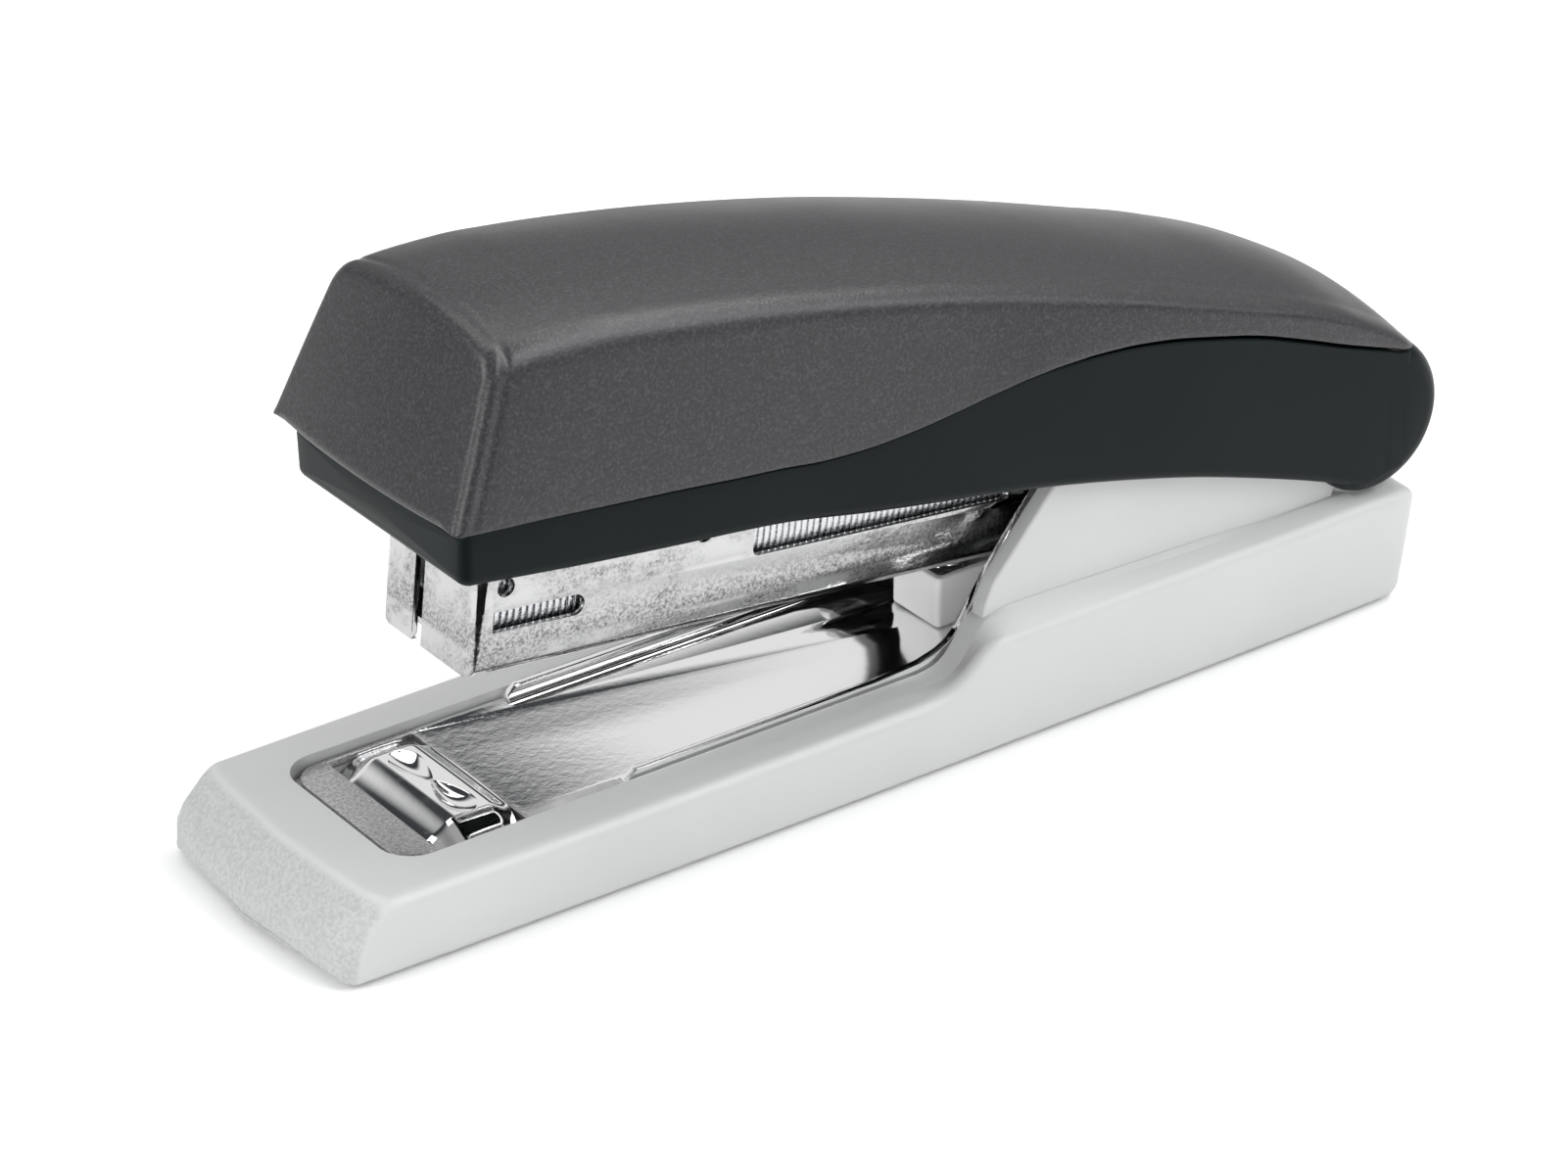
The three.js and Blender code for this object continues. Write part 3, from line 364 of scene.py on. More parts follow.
def skin(name, ring, x0, x1, stations, front, rear, r_front=1.0, r_rear=1.0, fil=7, cap=14, pack_rear=False, where=None, bead=None):
    """Closed solid lofted along X. ring(x) gives (n, 2) points, counter-clockwise seen from +X.
    front(y, z) and rear(y, z) give the end faces, met with rounded edges."""
    xs = np.linspace(x0, x1, 420)
    G = np.array([ring(x) for x in xs])                       # (420, n, 2)
    n = G.shape[1]
    idx = np.arange(n)

    def at(x):
        k = np.clip((x - x0) / (x1 - x0) * 419, 0, 419 - 1e-6)
        i = k.astype(int)
        t = (k - i)[:, None]
        return G[i, idx] * (1 - t) + G[i + 1, idx] * t

    def normals(P, reach):
        """Outward normals averaged over a short stretch of the ring, so tight corners don't fold."""
        e = np.roll(P, -1, 0) - P
        le = np.linalg.norm(e, axis=1)
        mid = P + e / 2
        en = np.stack([e[:, 1], -e[:, 0]], 1)
        out = []
        for k, p in enumerate(P):
            w = np.clip(1 - np.linalg.norm(mid - p, axis=1) / max(reach, 1e-3), 0, 1)
            v = (en * w[:, None]).sum(0) / ((le * w).sum() + 1e-12)
            if not np.any(w > 0):
                v = en[k] / (le[k] + 1e-12)
            out.append(v)
        return np.array(out)

    def ends(fn, r, guess, sign):
        x = np.full(n, float(guess))
        for _ in range(6):
            P = at(x)
            x = fn(P[:, 0], P[:, 1]) + sign * r
        return x
    xf, xr = ends(front, r_front, x0 + 2, 1), ends(rear, r_rear, x1 - 2, -1)
    rows = []
    Pf, Pr = at(xf), at(xr)
    nf, nr = normals(Pf, max(r_front, 0.3)), normals(Pr, max(r_rear, 0.3))

    def fan(P, nn, fn, r, sign):
        out = []
        for k in range(fil + 1):
            f = math.pi / 2 * k / fil
            Q = P - nn * r * (1 - math.cos(f))
            out.append(np.column_stack([fn(Q[:, 0], Q[:, 1]) + sign * r * (1 - math.sin(f)), Q]))
        Q = out[-1][:, 1:]
        c = np.array([0.0, (Q[:, 1].max() + Q[:, 1].min()) / 2])
        for k in range(1, cap):
            W = Q + (c - Q) * (k / cap)
            out.append(np.column_stack([fn(W[:, 0], W[:, 1]), W]))
        return out, np.array([float(fn(np.array([0.0]), np.array([c[1]]))[0]), c[0], c[1]])
    A, ca = fan(Pf, nf, front, r_front, 1)
    B, cb = fan(Pr, nr, rear, r_rear, -1)
    rows += A[::-1]
    if bead:                                              # shallow groove just behind the front rim
        width, depth = bead
        for k in range(1, 17):
            t = k / 16
            x = xf + width * t
            P = at(x)
            # only the crown and flanks carry it; it fades out towards the lower edge
            fade = smooth(P[:, 1] - P[:, 1].min(), 0.2, 1.2)
            P = P - normals(P, 0.4) * (depth * math.sin(math.pi * t) ** 2 * fade)[:, None]
            rows.append(np.column_stack([x, P]))
        xf = xf + width
    for s in range(1, stations):
        t = s / stations
        if pack_rear:
            t = math.sin(t * math.pi / 2)
        x = xf + (xr - xf) * t
        rows.append(np.column_stack([x, at(x)]))
    rows += B
    V = [ca] + [p for row in rows for p in row] + [cb]
    F, m = [], len(rows)
    for i in range(n):
        F.append((0, 1 + (i + 1) % n, 1 + i))
        F.append((len(V) - 1, 1 + (m - 1) * n + i, 1 + (m - 1) * n + (i + 1) % n))
    for s in range(m - 1):
        for i in range(n):
            a, b = 1 + s * n + i, 1 + s * n + (i + 1) % n
            F.append((a, b, b + n, a + n))
    return new(name, V, F, where)


def arc(cx, cz, r, a0, a1, n):
    return [(cx + r * math.cos(math.radians(a)), cz + r * math.sin(math.radians(a))) for a in np.linspace(a0, a1, n + 1)]


def resample(P, n):
    P = np.array(P, float)
    s = np.concatenate([[0], np.cumsum(np.linalg.norm(np.diff(P, axis=0), axis=1))])
    t = np.linspace(0, s[-1], n)
    return np.stack([np.interp(t, s, P[:, 0]), np.interp(t, s, P[:, 1])], 1)


# ------------------------------------------------------------------ materials
def material(name, base, metallic=0.0, rough=0.4, spec=0.5, coat=0.0):
    m = bpy.data.materials.new(name)
    m.use_nodes = True
    b = m.node_tree.nodes["Principled BSDF"]
    b.inputs["Base Color"].default_value = (*base, 1)
    b.inputs["Metallic"].default_value = metallic
    b.inputs["Roughness"].default_value = rough
    b.inputs["Specular IOR Level"].default_value = spec
    b.inputs["Coat Weight"].default_value = coat
    return m, m.node_tree, b


def N(t, kind, **kw):
    n = t.nodes.new(kind)
    for k, v in kw.items():
        if k in n.bl_rna.properties:
            setattr(n, k, v)
        else:
            n.inputs[k.replace("_", " ")].default_value = v
    return n


def coords(t, scale=(1, 1, 1)):
    c = t.nodes.new("ShaderNodeTexCoord")
    mp = t.nodes.new("ShaderNodeMapping")
    mp.inputs["Scale"].default_value = scale
    t.links.new(c.outputs["Object"], mp.inputs["Vector"])
    return mp.outputs["Vector"]


def noise(t, vec, scale, detail=2.0, rough=0.5, dist=0.0):
    n = N(t, "ShaderNodeTexNoise", Scale=scale, Detail=detail, Roughness=rough, Distortion=dist)
    t.links.new(vec, n.inputs["Vector"])
    return n.outputs["Fac"]


def ramp(t, fac, stops):
    r = t.nodes.new("ShaderNodeValToRGB")
    e = r.color_ramp.elements
    while len(e) < len(stops):
        e.new(0.5)
    for i, (p, c) in enumerate(stops):
        e[i].position = p
        e[i].color = (*c, 1) if len(c) == 3 else c
    t.links.new(fac, r.inputs["Fac"])
    return r.outputs["Color"]


def remap(t, fac, a, b, c, d):
    m = N(t, "ShaderNodeMapRange")
    for k, v in zip(("From Min", "From Max", "To Min", "To Max"), (a, b, c, d)):
        m.inputs[k].default_value = v
    t.links.new(fac, m.inputs["Value"])
    return m.outputs["Result"]


def bump(t, height, strength, dist_mm, prev=None):
    b = N(t, "ShaderNodeBump", Strength=strength, Distance=dist_mm * 0.001)
    t.links.new(height, b.inputs["Height"])
    if prev is not None:
        t.links.new(prev, b.inputs["Normal"])
    return b.outputs["Normal"]


def mix(t, fac, a, b):
    m = t.nodes.new("ShaderNodeMix")
    m.data_type = "RGBA"
    t.links.new(fac, m.inputs[0])
    for sock, v in ((m.inputs[6], a), (m.inputs[7], b)):
        if isinstance(v, tuple):
            sock.default_value = (*v, 1)
        else:
            t.links.new(v, sock)
    return m.outputs[2]


MATS = {}


def make_materials():
    # grained dark cover
    m, t, b = material("cover_grain", (0.03, 0.029, 0.031), rough=0.38, spec=0.5)
    v = coords(t)
    fine, mid, big = noise(t, v, 6500, 3, 0.6), noise(t, v, 3400, 2, 0.5), noise(t, v, 60, 3, 0.5)
    nrm = bump(t, mid, 0.72, 0.036)
    nrm = bump(t, fine, 0.45, 0.018, nrm)
    t.links.new(nrm, b.inputs["Normal"])
    t.links.new(ramp(t, mid, [(0.3, (0.0110, 0.0110, 0.0125)), (0.52, (0.0190, 0.0187, 0.0210)), (0.72, (0.042, 0.0405, 0.0455))]), b.inputs["Base Color"])
    t.links.new(remap(t, big, 0.3, 0.7, 0.34, 0.41), b.inputs["Roughness"])
    MATS["cover_plastic"] = m
    # smooth black moulding
    m, t, b = material("frame_black", (0.006, 0.009, 0.010), rough=0.36, spec=0.09)
    v = coords(t)
    fine, big = noise(t, v, 3800, 2, 0.5), noise(t, v, 45, 3, 0.55)
    nrm = bump(t, fine, 0.22, 0.012)
    nrm = bump(t, noise(t, v, 160, 2, 0.5), 0.10, 0.06, nrm)
    t.links.new(nrm, b.inputs["Normal"])
    t.links.new(ramp(t, big, [(0.3, (0.0038, 0.0064, 0.0068)), (0.7, (0.0056, 0.0090, 0.0096))]), b.inputs["Base Color"])
    t.links.new(remap(t, big, 0.3, 0.7, 0.30, 0.40), b.inputs["Roughness"])
    MATS["frame_plastic"] = m
    # pale grey base, frosted on the nose face; the nose face's colour is also darkened as painted shade
    m, t, b = material("base_grey", (0.49, 0.495, 0.495), rough=0.40, spec=0.5)
    v = coords(t)
    fine, mid, big = noise(t, v, 4200, 2, 0.6), noise(t, v, 2600, 2, 0.5), noise(t, v, 40, 3, 0.5)
    sep = t.nodes.new("ShaderNodeSeparateXYZ")
    tc = t.nodes.new("ShaderNodeTexCoord")
    t.links.new(tc.outputs["Normal"], sep.inputs[0])
    facing = remap(t, sep.outputs["X"], -0.36, -0.56, 0.0, 1.0)
    pos = t.nodes.new("ShaderNodeSeparateXYZ")
    t.links.new(v, pos.inputs[0])
    ahead = remap(t, pos.outputs["X"], (XS - 67.0) * 0.001, (XS - 68.5) * 0.001, 0.0, 1.0)
    fm = N(t, "ShaderNodeMath", operation="MULTIPLY")
    t.links.new(facing, fm.inputs[0])
    t.links.new(ahead, fm.inputs[1])
    face = fm.outputs[0]
    s1 = N(t, "ShaderNodeMath", operation="MULTIPLY_ADD")
    t.links.new(face, s1.inputs[0])
    s1.inputs[1].default_value = 0.40
    s1.inputs[2].default_value = 0.07
    nb = N(t, "ShaderNodeBump", Distance=0.05 * 0.001)
    t.links.new(mid, nb.inputs["Height"])
    t.links.new(s1.outputs[0], nb.inputs["Strength"])
    nrm = bump(t, fine, 0.10, 0.02, nb.outputs["Normal"])
    t.links.new(nrm, b.inputs["Normal"])
    col = ramp(t, big, [(0.3, (0.475, 0.48, 0.48)), (0.7, (0.505, 0.509, 0.507))])
    # speckled colour for the nose face, set darker than the rest of the base: the speckle is the frosted finish, the
    # darker tone is painted shade
    spec = ramp(t, mid, [(0.35, (0.35, 0.362, 0.36)), (0.62, (0.43, 0.44, 0.438))])
    t.links.new(mix(t, face, col, spec), b.inputs["Base Color"])
    t.links.new(remap(t, face, 0, 1, 0.40, 0.52), b.inputs["Roughness"])
    MATS["base_plastic"] = m
    # bright plating over pressed sheet: the floor plate is grained, the magazine duller with worn patches and a painted
    # dark reflection band above its lower crease, the anvil clean
    for key, clear, worn, amount, grain, swell, pull in (("chrome_plate", 0.95, 0.92, 0.52, 0.30, 0.03, 1.0), ("chrome_dull", 0.52, 0.36, 0.50, 0.80, 0.07, 1.6), ("chrome_bright", 0.93, 0.86, 0.66, 0.16, 0.10, 1.0)):
        m, t, b = material("plated_" + key[7:], (0.80, 0.80, 0.80), metallic=1.0, rough=0.1)
        v = coords(t)
        vs = coords(t, (1, pull, pull))
        peel, wave, grit = noise(t, v, 1150, 2, 0.55), noise(t, vs, 90, 2, 0.5), noise(t, v, 3600, 3, 0.65)
        patch = noise(t, vs, 120, 6, 0.72)
        nrm = bump(t, wave, swell, 0.22)
        msk = remap(t, patch, amount - 0.08, amount + 0.10, 0.0, 1.0)
        colour = mix(t, msk, (clear, clear, clear), (worn, worn, worn))
        rough = remap(t, msk, 0, 1, 0.06, 0.20)
        if key == "chrome_dull":
            # painted reflection: a dark speckled band just above the magazine's lower crease stands in for the dark
            # surroundings the chrome reflects there
            dot = t.nodes.new("ShaderNodeVectorMath")
            dot.operation = "DOT_PRODUCT"
            t.links.new(v, dot.inputs[0])
            dot.inputs[1].default_value = (ST, 0.0, CT)
            low = ((HX + XS) * ST + HZ * CT) * 0.001
            crease_reflection_band = remap(t, dot.outputs["Value"], low + (MB + 6.4) * 0.001, low + (MB + 3.4) * 0.001, 0.0, 1.0)
            below = remap(t, dot.outputs["Value"], low + (MB + 2.2) * 0.001, low + (MB + 2.8) * 0.001, 0.0, 1.0)
            painted_reflection = N(t, "ShaderNodeMath", operation="MULTIPLY")
            t.links.new(crease_reflection_band, painted_reflection.inputs[0])
            t.links.new(below, painted_reflection.inputs[1])
            mx = N(t, "ShaderNodeMath", operation="MAXIMUM")
            t.links.new(msk, mx.inputs[0])
            t.links.new(painted_reflection.outputs[0], mx.inputs[1])
            msk = mx.outputs[0]
            # the worn patches and the painted dark reflection band share this dark speckled colour
            colour = mix(t, msk, (clear, clear, clear), ramp(t, grit, [(0.36, (0.14, 0.14, 0.14)), (0.6, (0.46, 0.46, 0.46))]))
            rough = remap(t, msk, 0, 1, 0.06, 0.20)
        if key == "chrome_plate":
            # the front end of the floor plate is blasted: dull and coarse
            sep = t.nodes.new("ShaderNodeSeparateXYZ")
            t.links.new(v, sep.inputs[0])
            front = remap(t, sep.outputs["X"], (XS - 50.0) * 0.001, (XS - 51.2) * 0.001, 0.0, 1.0)
            near = remap(t, sep.outputs["X"], (XS - 22.0) * 0.001, (XS - 46.0) * 0.001, 0.0, 0.75)
            mx = N(t, "ShaderNodeMath", operation="MAXIMUM")
            t.links.new(near, mx.inputs[0])
            t.links.new(front, mx.inputs[1])
            msk = N(t, "ShaderNodeMath", operation="MULTIPLY_ADD")
            t.links.new(front, msk.inputs[0])
            msk.inputs[1].default_value = 2.2
            t.links.new(mx.outputs[0], msk.inputs[2])
            msk = msk.outputs[0]
            colour = mix(t, front, (clear, clear, clear), ramp(t, grit, [(0.35, (0.34, 0.34, 0.34)), (0.65, (0.66, 0.66, 0.66))]))
            rough = remap(t, front, 0, 1, 0.08, 0.34)
        pb = N(t, "ShaderNodeBump", Distance=0.055 * 0.001)
        t.links.new(peel, pb.inputs["Height"])
        t.links.new(remap(t, msk, 0, 3.2, grain * 0.16, min(1.0, grain * 3.2)) if key == "chrome_plate" else remap(t, msk, 0, 1, grain * 0.16, grain), pb.inputs["Strength"])
        t.links.new(nrm, pb.inputs["Normal"])
        gb = N(t, "ShaderNodeBump", Distance=0.02 * 0.001)
        t.links.new(grit, gb.inputs["Height"])
        t.links.new(remap(t, msk, 0, 3.2, 0.05, 1.0) if key == "chrome_plate" else remap(t, msk, 0, 1, 0.05, grain), gb.inputs["Strength"])
        t.links.new(pb.outputs["Normal"], gb.inputs["Normal"])
        t.links.new(gb.outputs["Normal"], b.inputs["Normal"])
        t.links.new(rough, b.inputs["Roughness"])
        t.links.new(colour, b.inputs["Base Color"])
        MATS[key] = m
    # drawn spring steel
    m, t, b = material("drawn_steel", (0.5, 0.51, 0.52), metallic=1.0, rough=0.28)
    v = coords(t, (1, 9, 9))
    n1 = noise(t, v, 260, 4, 0.6)
    t.links.new(bump(t, n1, 0.25, 0.02), b.inputs["Normal"])
    t.links.new(remap(t, n1, 0.3, 0.7, 0.2, 0.36), b.inputs["Roughness"])
    t.links.new(ramp(t, n1, [(0.3, (0.42, 0.43, 0.44)), (0.7, (0.60, 0.61, 0.62))]), b.inputs["Base Color"])
    MATS["spring_steel"] = m
    # galvanised staple wire
    m, t, b = material("staple_zinc", (0.62, 0.63, 0.65), metallic=1.0, rough=0.24)
    v = coords(t, (1, 5, 5))
    n1 = noise(t, v, 900, 3, 0.6)
    t.links.new(bump(t, n1, 0.3, 0.02), b.inputs["Normal"])
    t.links.new(remap(t, n1, 0.3, 0.7, 0.18, 0.34), b.inputs["Roughness"])
    t.links.new(ramp(t, n1, [(0.3, (0.52, 0.53, 0.55)), (0.7, (0.72, 0.73, 0.74))]), b.inputs["Base Color"])
    MATS["staple_wire"] = m
    # white moulded sleeve
    m, t, b = material("sleeve_white", (0.84, 0.85, 0.84), rough=0.38, spec=0.5)
    v = coords(t)
    n1, n2 = noise(t, v, 1800, 2, 0.5), noise(t, v, 120, 3, 0.5)
    t.links.new(bump(t, n1, 0.12, 0.02), b.inputs["Normal"])
    t.links.new(ramp(t, n2, [(0.3, (0.86, 0.87, 0.86)), (0.7, (0.92, 0.925, 0.915))]), b.inputs["Base Color"])
    t.links.new(remap(t, n2, 0.3, 0.7, 0.33, 0.44), b.inputs["Roughness"])
    MATS["white_plastic"] = m
    # foot rubber
    m, t, b = material("foot_rubber_grain", (0.03, 0.03, 0.03), rough=0.82, spec=0.35)
    v = coords(t)
    n1, n2 = noise(t, v, 1500, 3, 0.6), noise(t, v, 200, 3, 0.5)
    t.links.new(bump(t, n1, 0.6, 0.05), b.inputs["Normal"])
    t.links.new(ramp(t, n2, [(0.3, (0.022, 0.022, 0.023)), (0.7, (0.045, 0.044, 0.043))]), b.inputs["Base Color"])
    t.links.new(remap(t, n1, 0.3, 0.7, 0.72, 0.92), b.inputs["Roughness"])
    MATS["foot_rubber"] = m


make_materials()
NODE_BODY = {n: b for b, ns in frame["record"]["behaviour"]["bodies"].items() for n in ns}
SLOT = {s["node"]: s["material_slot"] for s in frame["record"]["subparts"]}


def finish_piece(ob, node, angle=38, *more):
    """Gives the piece its material and body, and lets it stand for its CAD node."""
    if open_edges(ob):
        print("open edges:", node, open_edges(ob))
    ob.name = "v_" + node
    ob.data.name = ob.name
    ob.data.materials.clear()
    ob.data.materials.append(MATS[{"magazine_channel": "chrome_dull", "anvil": "chrome_bright"}.get(node, SLOT[node])])
    shade(ob, angle)
    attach(ob, NODE_BODY[node])
    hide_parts(node, *more)
    return ob


# ------------------------------------------------------------------ top cover
def cover_section(x, inset=0.0, drop=0.0):
    """Half outline from the centre of the crown down past the wave line."""
    H = float(top_z(x)) - drop
    S = H - float(shoulder_drop(x)) * (1 - 0.08 * inset)
    Ws, Wb = float(shoulder_half(x)) - inset, float(foot_half(x)) - inset
    zw = float(wave_z(x))
    zb = min(zw - 6, S - 8)
    slope, k, yc = (Wb - Ws) / max(6, S - zw), 0.0128, Ws - 3.0
    zc = H - k * yc * yc
    out = [(y, H - k * y * y) for y in np.linspace(0, yc, 16)]
    c = np.array([Ws - 0.45, zc - 0.45])
    for t in np.linspace(0, 1, 19)[1:]:
        p = (1 - t) ** 2 * np.array([yc, zc]) + 2 * t * (1 - t) * c + t * t * np.array([Ws, S])
        out.append(tuple(p))
    for t in np.linspace(0, 1, 24)[1:]:
        out.append((Ws + slope * (S - zb) * t + (0.35 + 0.9 * float(smooth(-x, 40, 56))) * t * (1 - t), S + (zb - S) * t))
    return np.array(out)


def clip_low(P, z):
    """Keeps the outline above z, ending exactly on it."""
    keep = [P[0]]
    for a, b in zip(P[:-1], P[1:]):
        if b[1] >= z:
            keep.append(b)
        else:
            t = (a[1] - z) / (a[1] - b[1] + 1e-12)
            keep.append(a + (b - a) * t)
            break
    return np.array(keep)


def cover_ring(x):
    zw = float(wave_z(x))
    P = cover_section(x)
    if P[0][1] <= zw + 0.05:
        P[0][1] = zw + 0.05
        P = np.array([P[0], P[0] + [0.02, -0.03]])
        half = resample(P, 60)
    else:
        half = resample(clip_low(P, zw), 60)
    # small rolled lip at the lower edge
    e = half[-1].copy()
    r = min(0.35, 0.3 * e[0], 0.4 * (half[0][1] - zw + 0.02))
    lip = []
    k = len(half) - 1
    while k > 1 and np.linalg.norm(half[k] - e) < r:
        k -= 1
    s = half[k]
    for t in np.linspace(0, 1, 6)[1:]:
        lip.append((1 - t) ** 2 * s + 2 * t * (1 - t) * e + t * t * (e + np.array([-r, 0])))
    body = resample(half[: k + 1], 56)
    under = [np.array([(e[0] - r) * (1 - t), e[1]]) for t in np.linspace(0, 1, 8)[1:]]
    right = np.array(list(body) + lip + under)          # crown -> lower edge -> centre below
    left = right[1:-1][::-1] * np.array([-1, 1])
    P = np.concatenate([right, left])
    return P[::-1]


def front_cover(y, z, x0=-60.6, bow=1.0, w=14.4):
    y = np.asarray(y, float)
    return x0 + 0.446 * (np.asarray(z, float) - 40) - bow * np.maximum(0, 1 - (y / w) ** 2)


def cover_tail(y, z):
    return np.full(np.shape(y), 50.35) - 0.0 * np.asarray(y)


def build_cover():
    # the tail: where the crown meets the wave line
    xs = np.linspace(44, 53, 400)
    tail = float(xs[np.argmax(top_z(xs) <= wave_z(xs) + 0.4)])
    ob = skin("cover", cover_ring, -68, tail, 150, front_cover, lambda y, z: np.full(np.shape(y), tail), r_front=0.95, r_rear=0.0, fil=8, cap=18, pack_rear=True, bead=(1.5, 0.10))

    def inner_ring(x):
        P = resample(clip_low(cover_section(x, 1.5, 1.6), float(wave_z(x)) - 3), 60)
        P = np.concatenate([P, [[P[-1][0] * (1 - t), P[-1][1]] for t in (0.5, 1.0)]])
        return np.concatenate([P, P[1:-1][::-1] * np.array([-1, 1])])[::-1]
    hole = skin("cover_in", inner_ring, -66, 45.4, 70, lambda y, z: front_cover(y, z, -58.8, 1.0, 13), lambda y, z: np.full(np.shape(y), 45.3), r_front=0.8, r_rear=0.5, fil=3, cap=6)
    cut(ob, hole)
    return finish_piece(ob, "top_cover", 34)


# ------------------------------------------------------------------ handle frame
def frame_ring(x):
    w, z0, z1 = float(frame_half(x)), float(lower_z(min(x, 43.0))), float(wave_z(x)) - 0.35
    if x > 43:
        z0 += (x - 43) * 0.18
    P = [(-w, z1), (-w, z0), (w, z0), (w, z1)]
    return rounded(P, [0.25, 1.15, 1.15, 0.25], 8, even=True)


def below_wave(name, off=0.35, lo=-70, hi=60):
    xs = np.linspace(-66, 56, 160)
    return prism(name, [(x, float(wave_z(x)) - off) for x in xs] + [(56, 0), (-66, 0)], -20, 20)


def frame_front(y, z):
    y = np.asarray(y, float)
    return -59.2 - 0.3 * (1 - (y / 13.4) ** 2)


def barrel_rows(r, crown, half, edge, n=48):
    rows = [(0, -half)]
    for y in np.concatenate([np.linspace(-half, -half + edge, 12), np.linspace(-half + edge, half - edge, n)[1:-1], np.linspace(half - edge, half, 12)]):
        t = max(0.0, (abs(y) - (half - edge)) / edge)
        rows.append((r + crown * (1 - (y / half) ** 2) - edge * (1 - math.sqrt(max(0, 1 - t * t))), y))
    return rows + [(0, half)]


def build_frame():
    ob = skin("frame", frame_ring, -63, 47.6, 130, frame_front, lambda y, z: np.full(np.shape(y), 47.4), r_front=1.3, r_rear=0.2, fil=7, cap=8)
    barrel = lathe("barrel", barrel_rows(R_BARREL, CROWN, HALF, 1.7), (HX, 0, HZ), "y", 160)
    meet(barrel, below_wave("bw"))
    join(ob, barrel)
    # inner box under the cover, and the web that carries the driver
    xs = np.linspace(-57.0, 44, 60)
    inner = prism("inner", [(x, float(wave_z(x)) - 2.2) for x in xs] + [(x, max(float(web_z(x)), float(wave_z(x)) - 0.1)) for x in xs[::-1]], -11.0, 11.0)
    join(ob, inner)
    sector = -13.7
    nose = prism("nose", [(-57.4 - 0.8 * max(0, 1 - (y / 13) ** 2), y) for y in np.linspace(-16, 16, 25)] + [(90, 16), (90, -16)], 0, 62, "z", lean=(0.12, 35))
    xs = np.linspace(-70, 42, 60)
    side = prism("side", [(-70, 0), (60, 0), (60, HZ + 16.2 * math.tan(math.radians(sector)))] + arc(HX, HZ, 5.8, sector, 75, 12) + [(x, float(wave_z(x)) - 1.9) for x in xs[::-1]], -SKIRT_IN, SKIRT_IN)
    meet(side, nose)
    cut(ob, side)
    xs = np.linspace(-57.2, 41, 50)
    up = prism("up", [(-57.2, 20)] + [(x, float(web_z(x)) - 1.5) for x in xs] + [(41, 20)], -9.6, 9.6)
    cut(ob, up)
    cut(ob, rod("pinhole", (HX, 0, HZ), 1.75, -13.6, 13.6))
    # stiffening ribs inside the skirts
    for x in (-46.0, -31.0, -16.0):
        for s in (-1, 1):
            z1, z0 = float(wave_z(x)) - 1.7, float(lower_z(x)) + 2.2
            join(ob, box("rib", x - 0.45, x + 0.45, min(s * 12.0, s * 12.9), max(s * 12.0, s * 12.9), z0, z1 + 0.4))
    for s in (-1, 1):
        cut(ob, rod("rh", (-47.5, s * 4.2, 0), 1.2, 30, 60, "z"))
    return finish_piece(ob, "handle_frame", 34)


# ------------------------------------------------------------------ base
def base_ring(x):
    zt, zr, wm = float(base_top(x)), float(base_ridge(x)), float(base_mid(x))
    zm = 5.2 + (zr - 6.85) * 0.35
    f = float(smooth(x, -12, -4))
    fl = 0.4 * float(smooth(x, -2.4, 0.5)) * (1 - float(smooth(x, 24, 34)))
    rr = 1.5 - 0.2 * f
    corner = zr + 0.75 + 0.1 * f
    half = [(wm - 0.2, 0.3), (wm, 3.0), (wm - 0.02, zm), (wm - 0.35 - 0.1 * f, corner), (12.2 + fl * 0.9 + 0.4, zt), (12.2 + 0.1, zt + fl), (10.0, zt + fl)]
    rad = [0.9, 12.0, 12.0, rr, 1.1 * fl, 0.0, 0.0]
    P = [(0, 0.3)] + half + [(0, zt + fl)] + [(-a, b) for a, b in half[::-1]]
    R = [0] + rad + [0] + rad[::-1]
    return rounded(P, R, 7, even=True)


def nose(y, z):
    y, z = np.asarray(y, float), np.asarray(z, float)
    a = -74.6 + 0.1 * (z - 0.5)
    b = -74.2 + 0.95 * (z - 4)
    k = 1.3
    h = np.clip(0.5 + 0.5 * (a - b) / k, 0, 1)
    c = b + (a - b) * h + k * h * (1 - h) * 0.5
    return c + 1.1 * (y / 14) ** 2 + 0.25 * np.maximum(0, np.abs(y) - 12.5) ** 1.6


def tail(y, z):
    y, z = np.asarray(y, float), np.asarray(z, float)
    return 50.6 + 0.16 * (np.minimum(z, 11) - 11) - 0.9 * (y / 14) ** 2 - 0.2 * np.maximum(0, np.abs(y) - 13.5) ** 1.6


def cheek_points():
    top = rounded([(-5.2, 9.0), (-3.4, 10.8), (-2.5, 12.4), (-2.3, 13.6), (-1.3, 15.8), (1.2, 18.6), (5.0, 23.0), (6.9, 25.0), (39.0, 25.0)], [0, 2, 2, 3, 4, 0, 0, 2.2, 0], 5)
    return [tuple(p) for p in top] + arc(HX, HZ, 5.1, 100, -125, 30) + [(39.4, 9.0)]


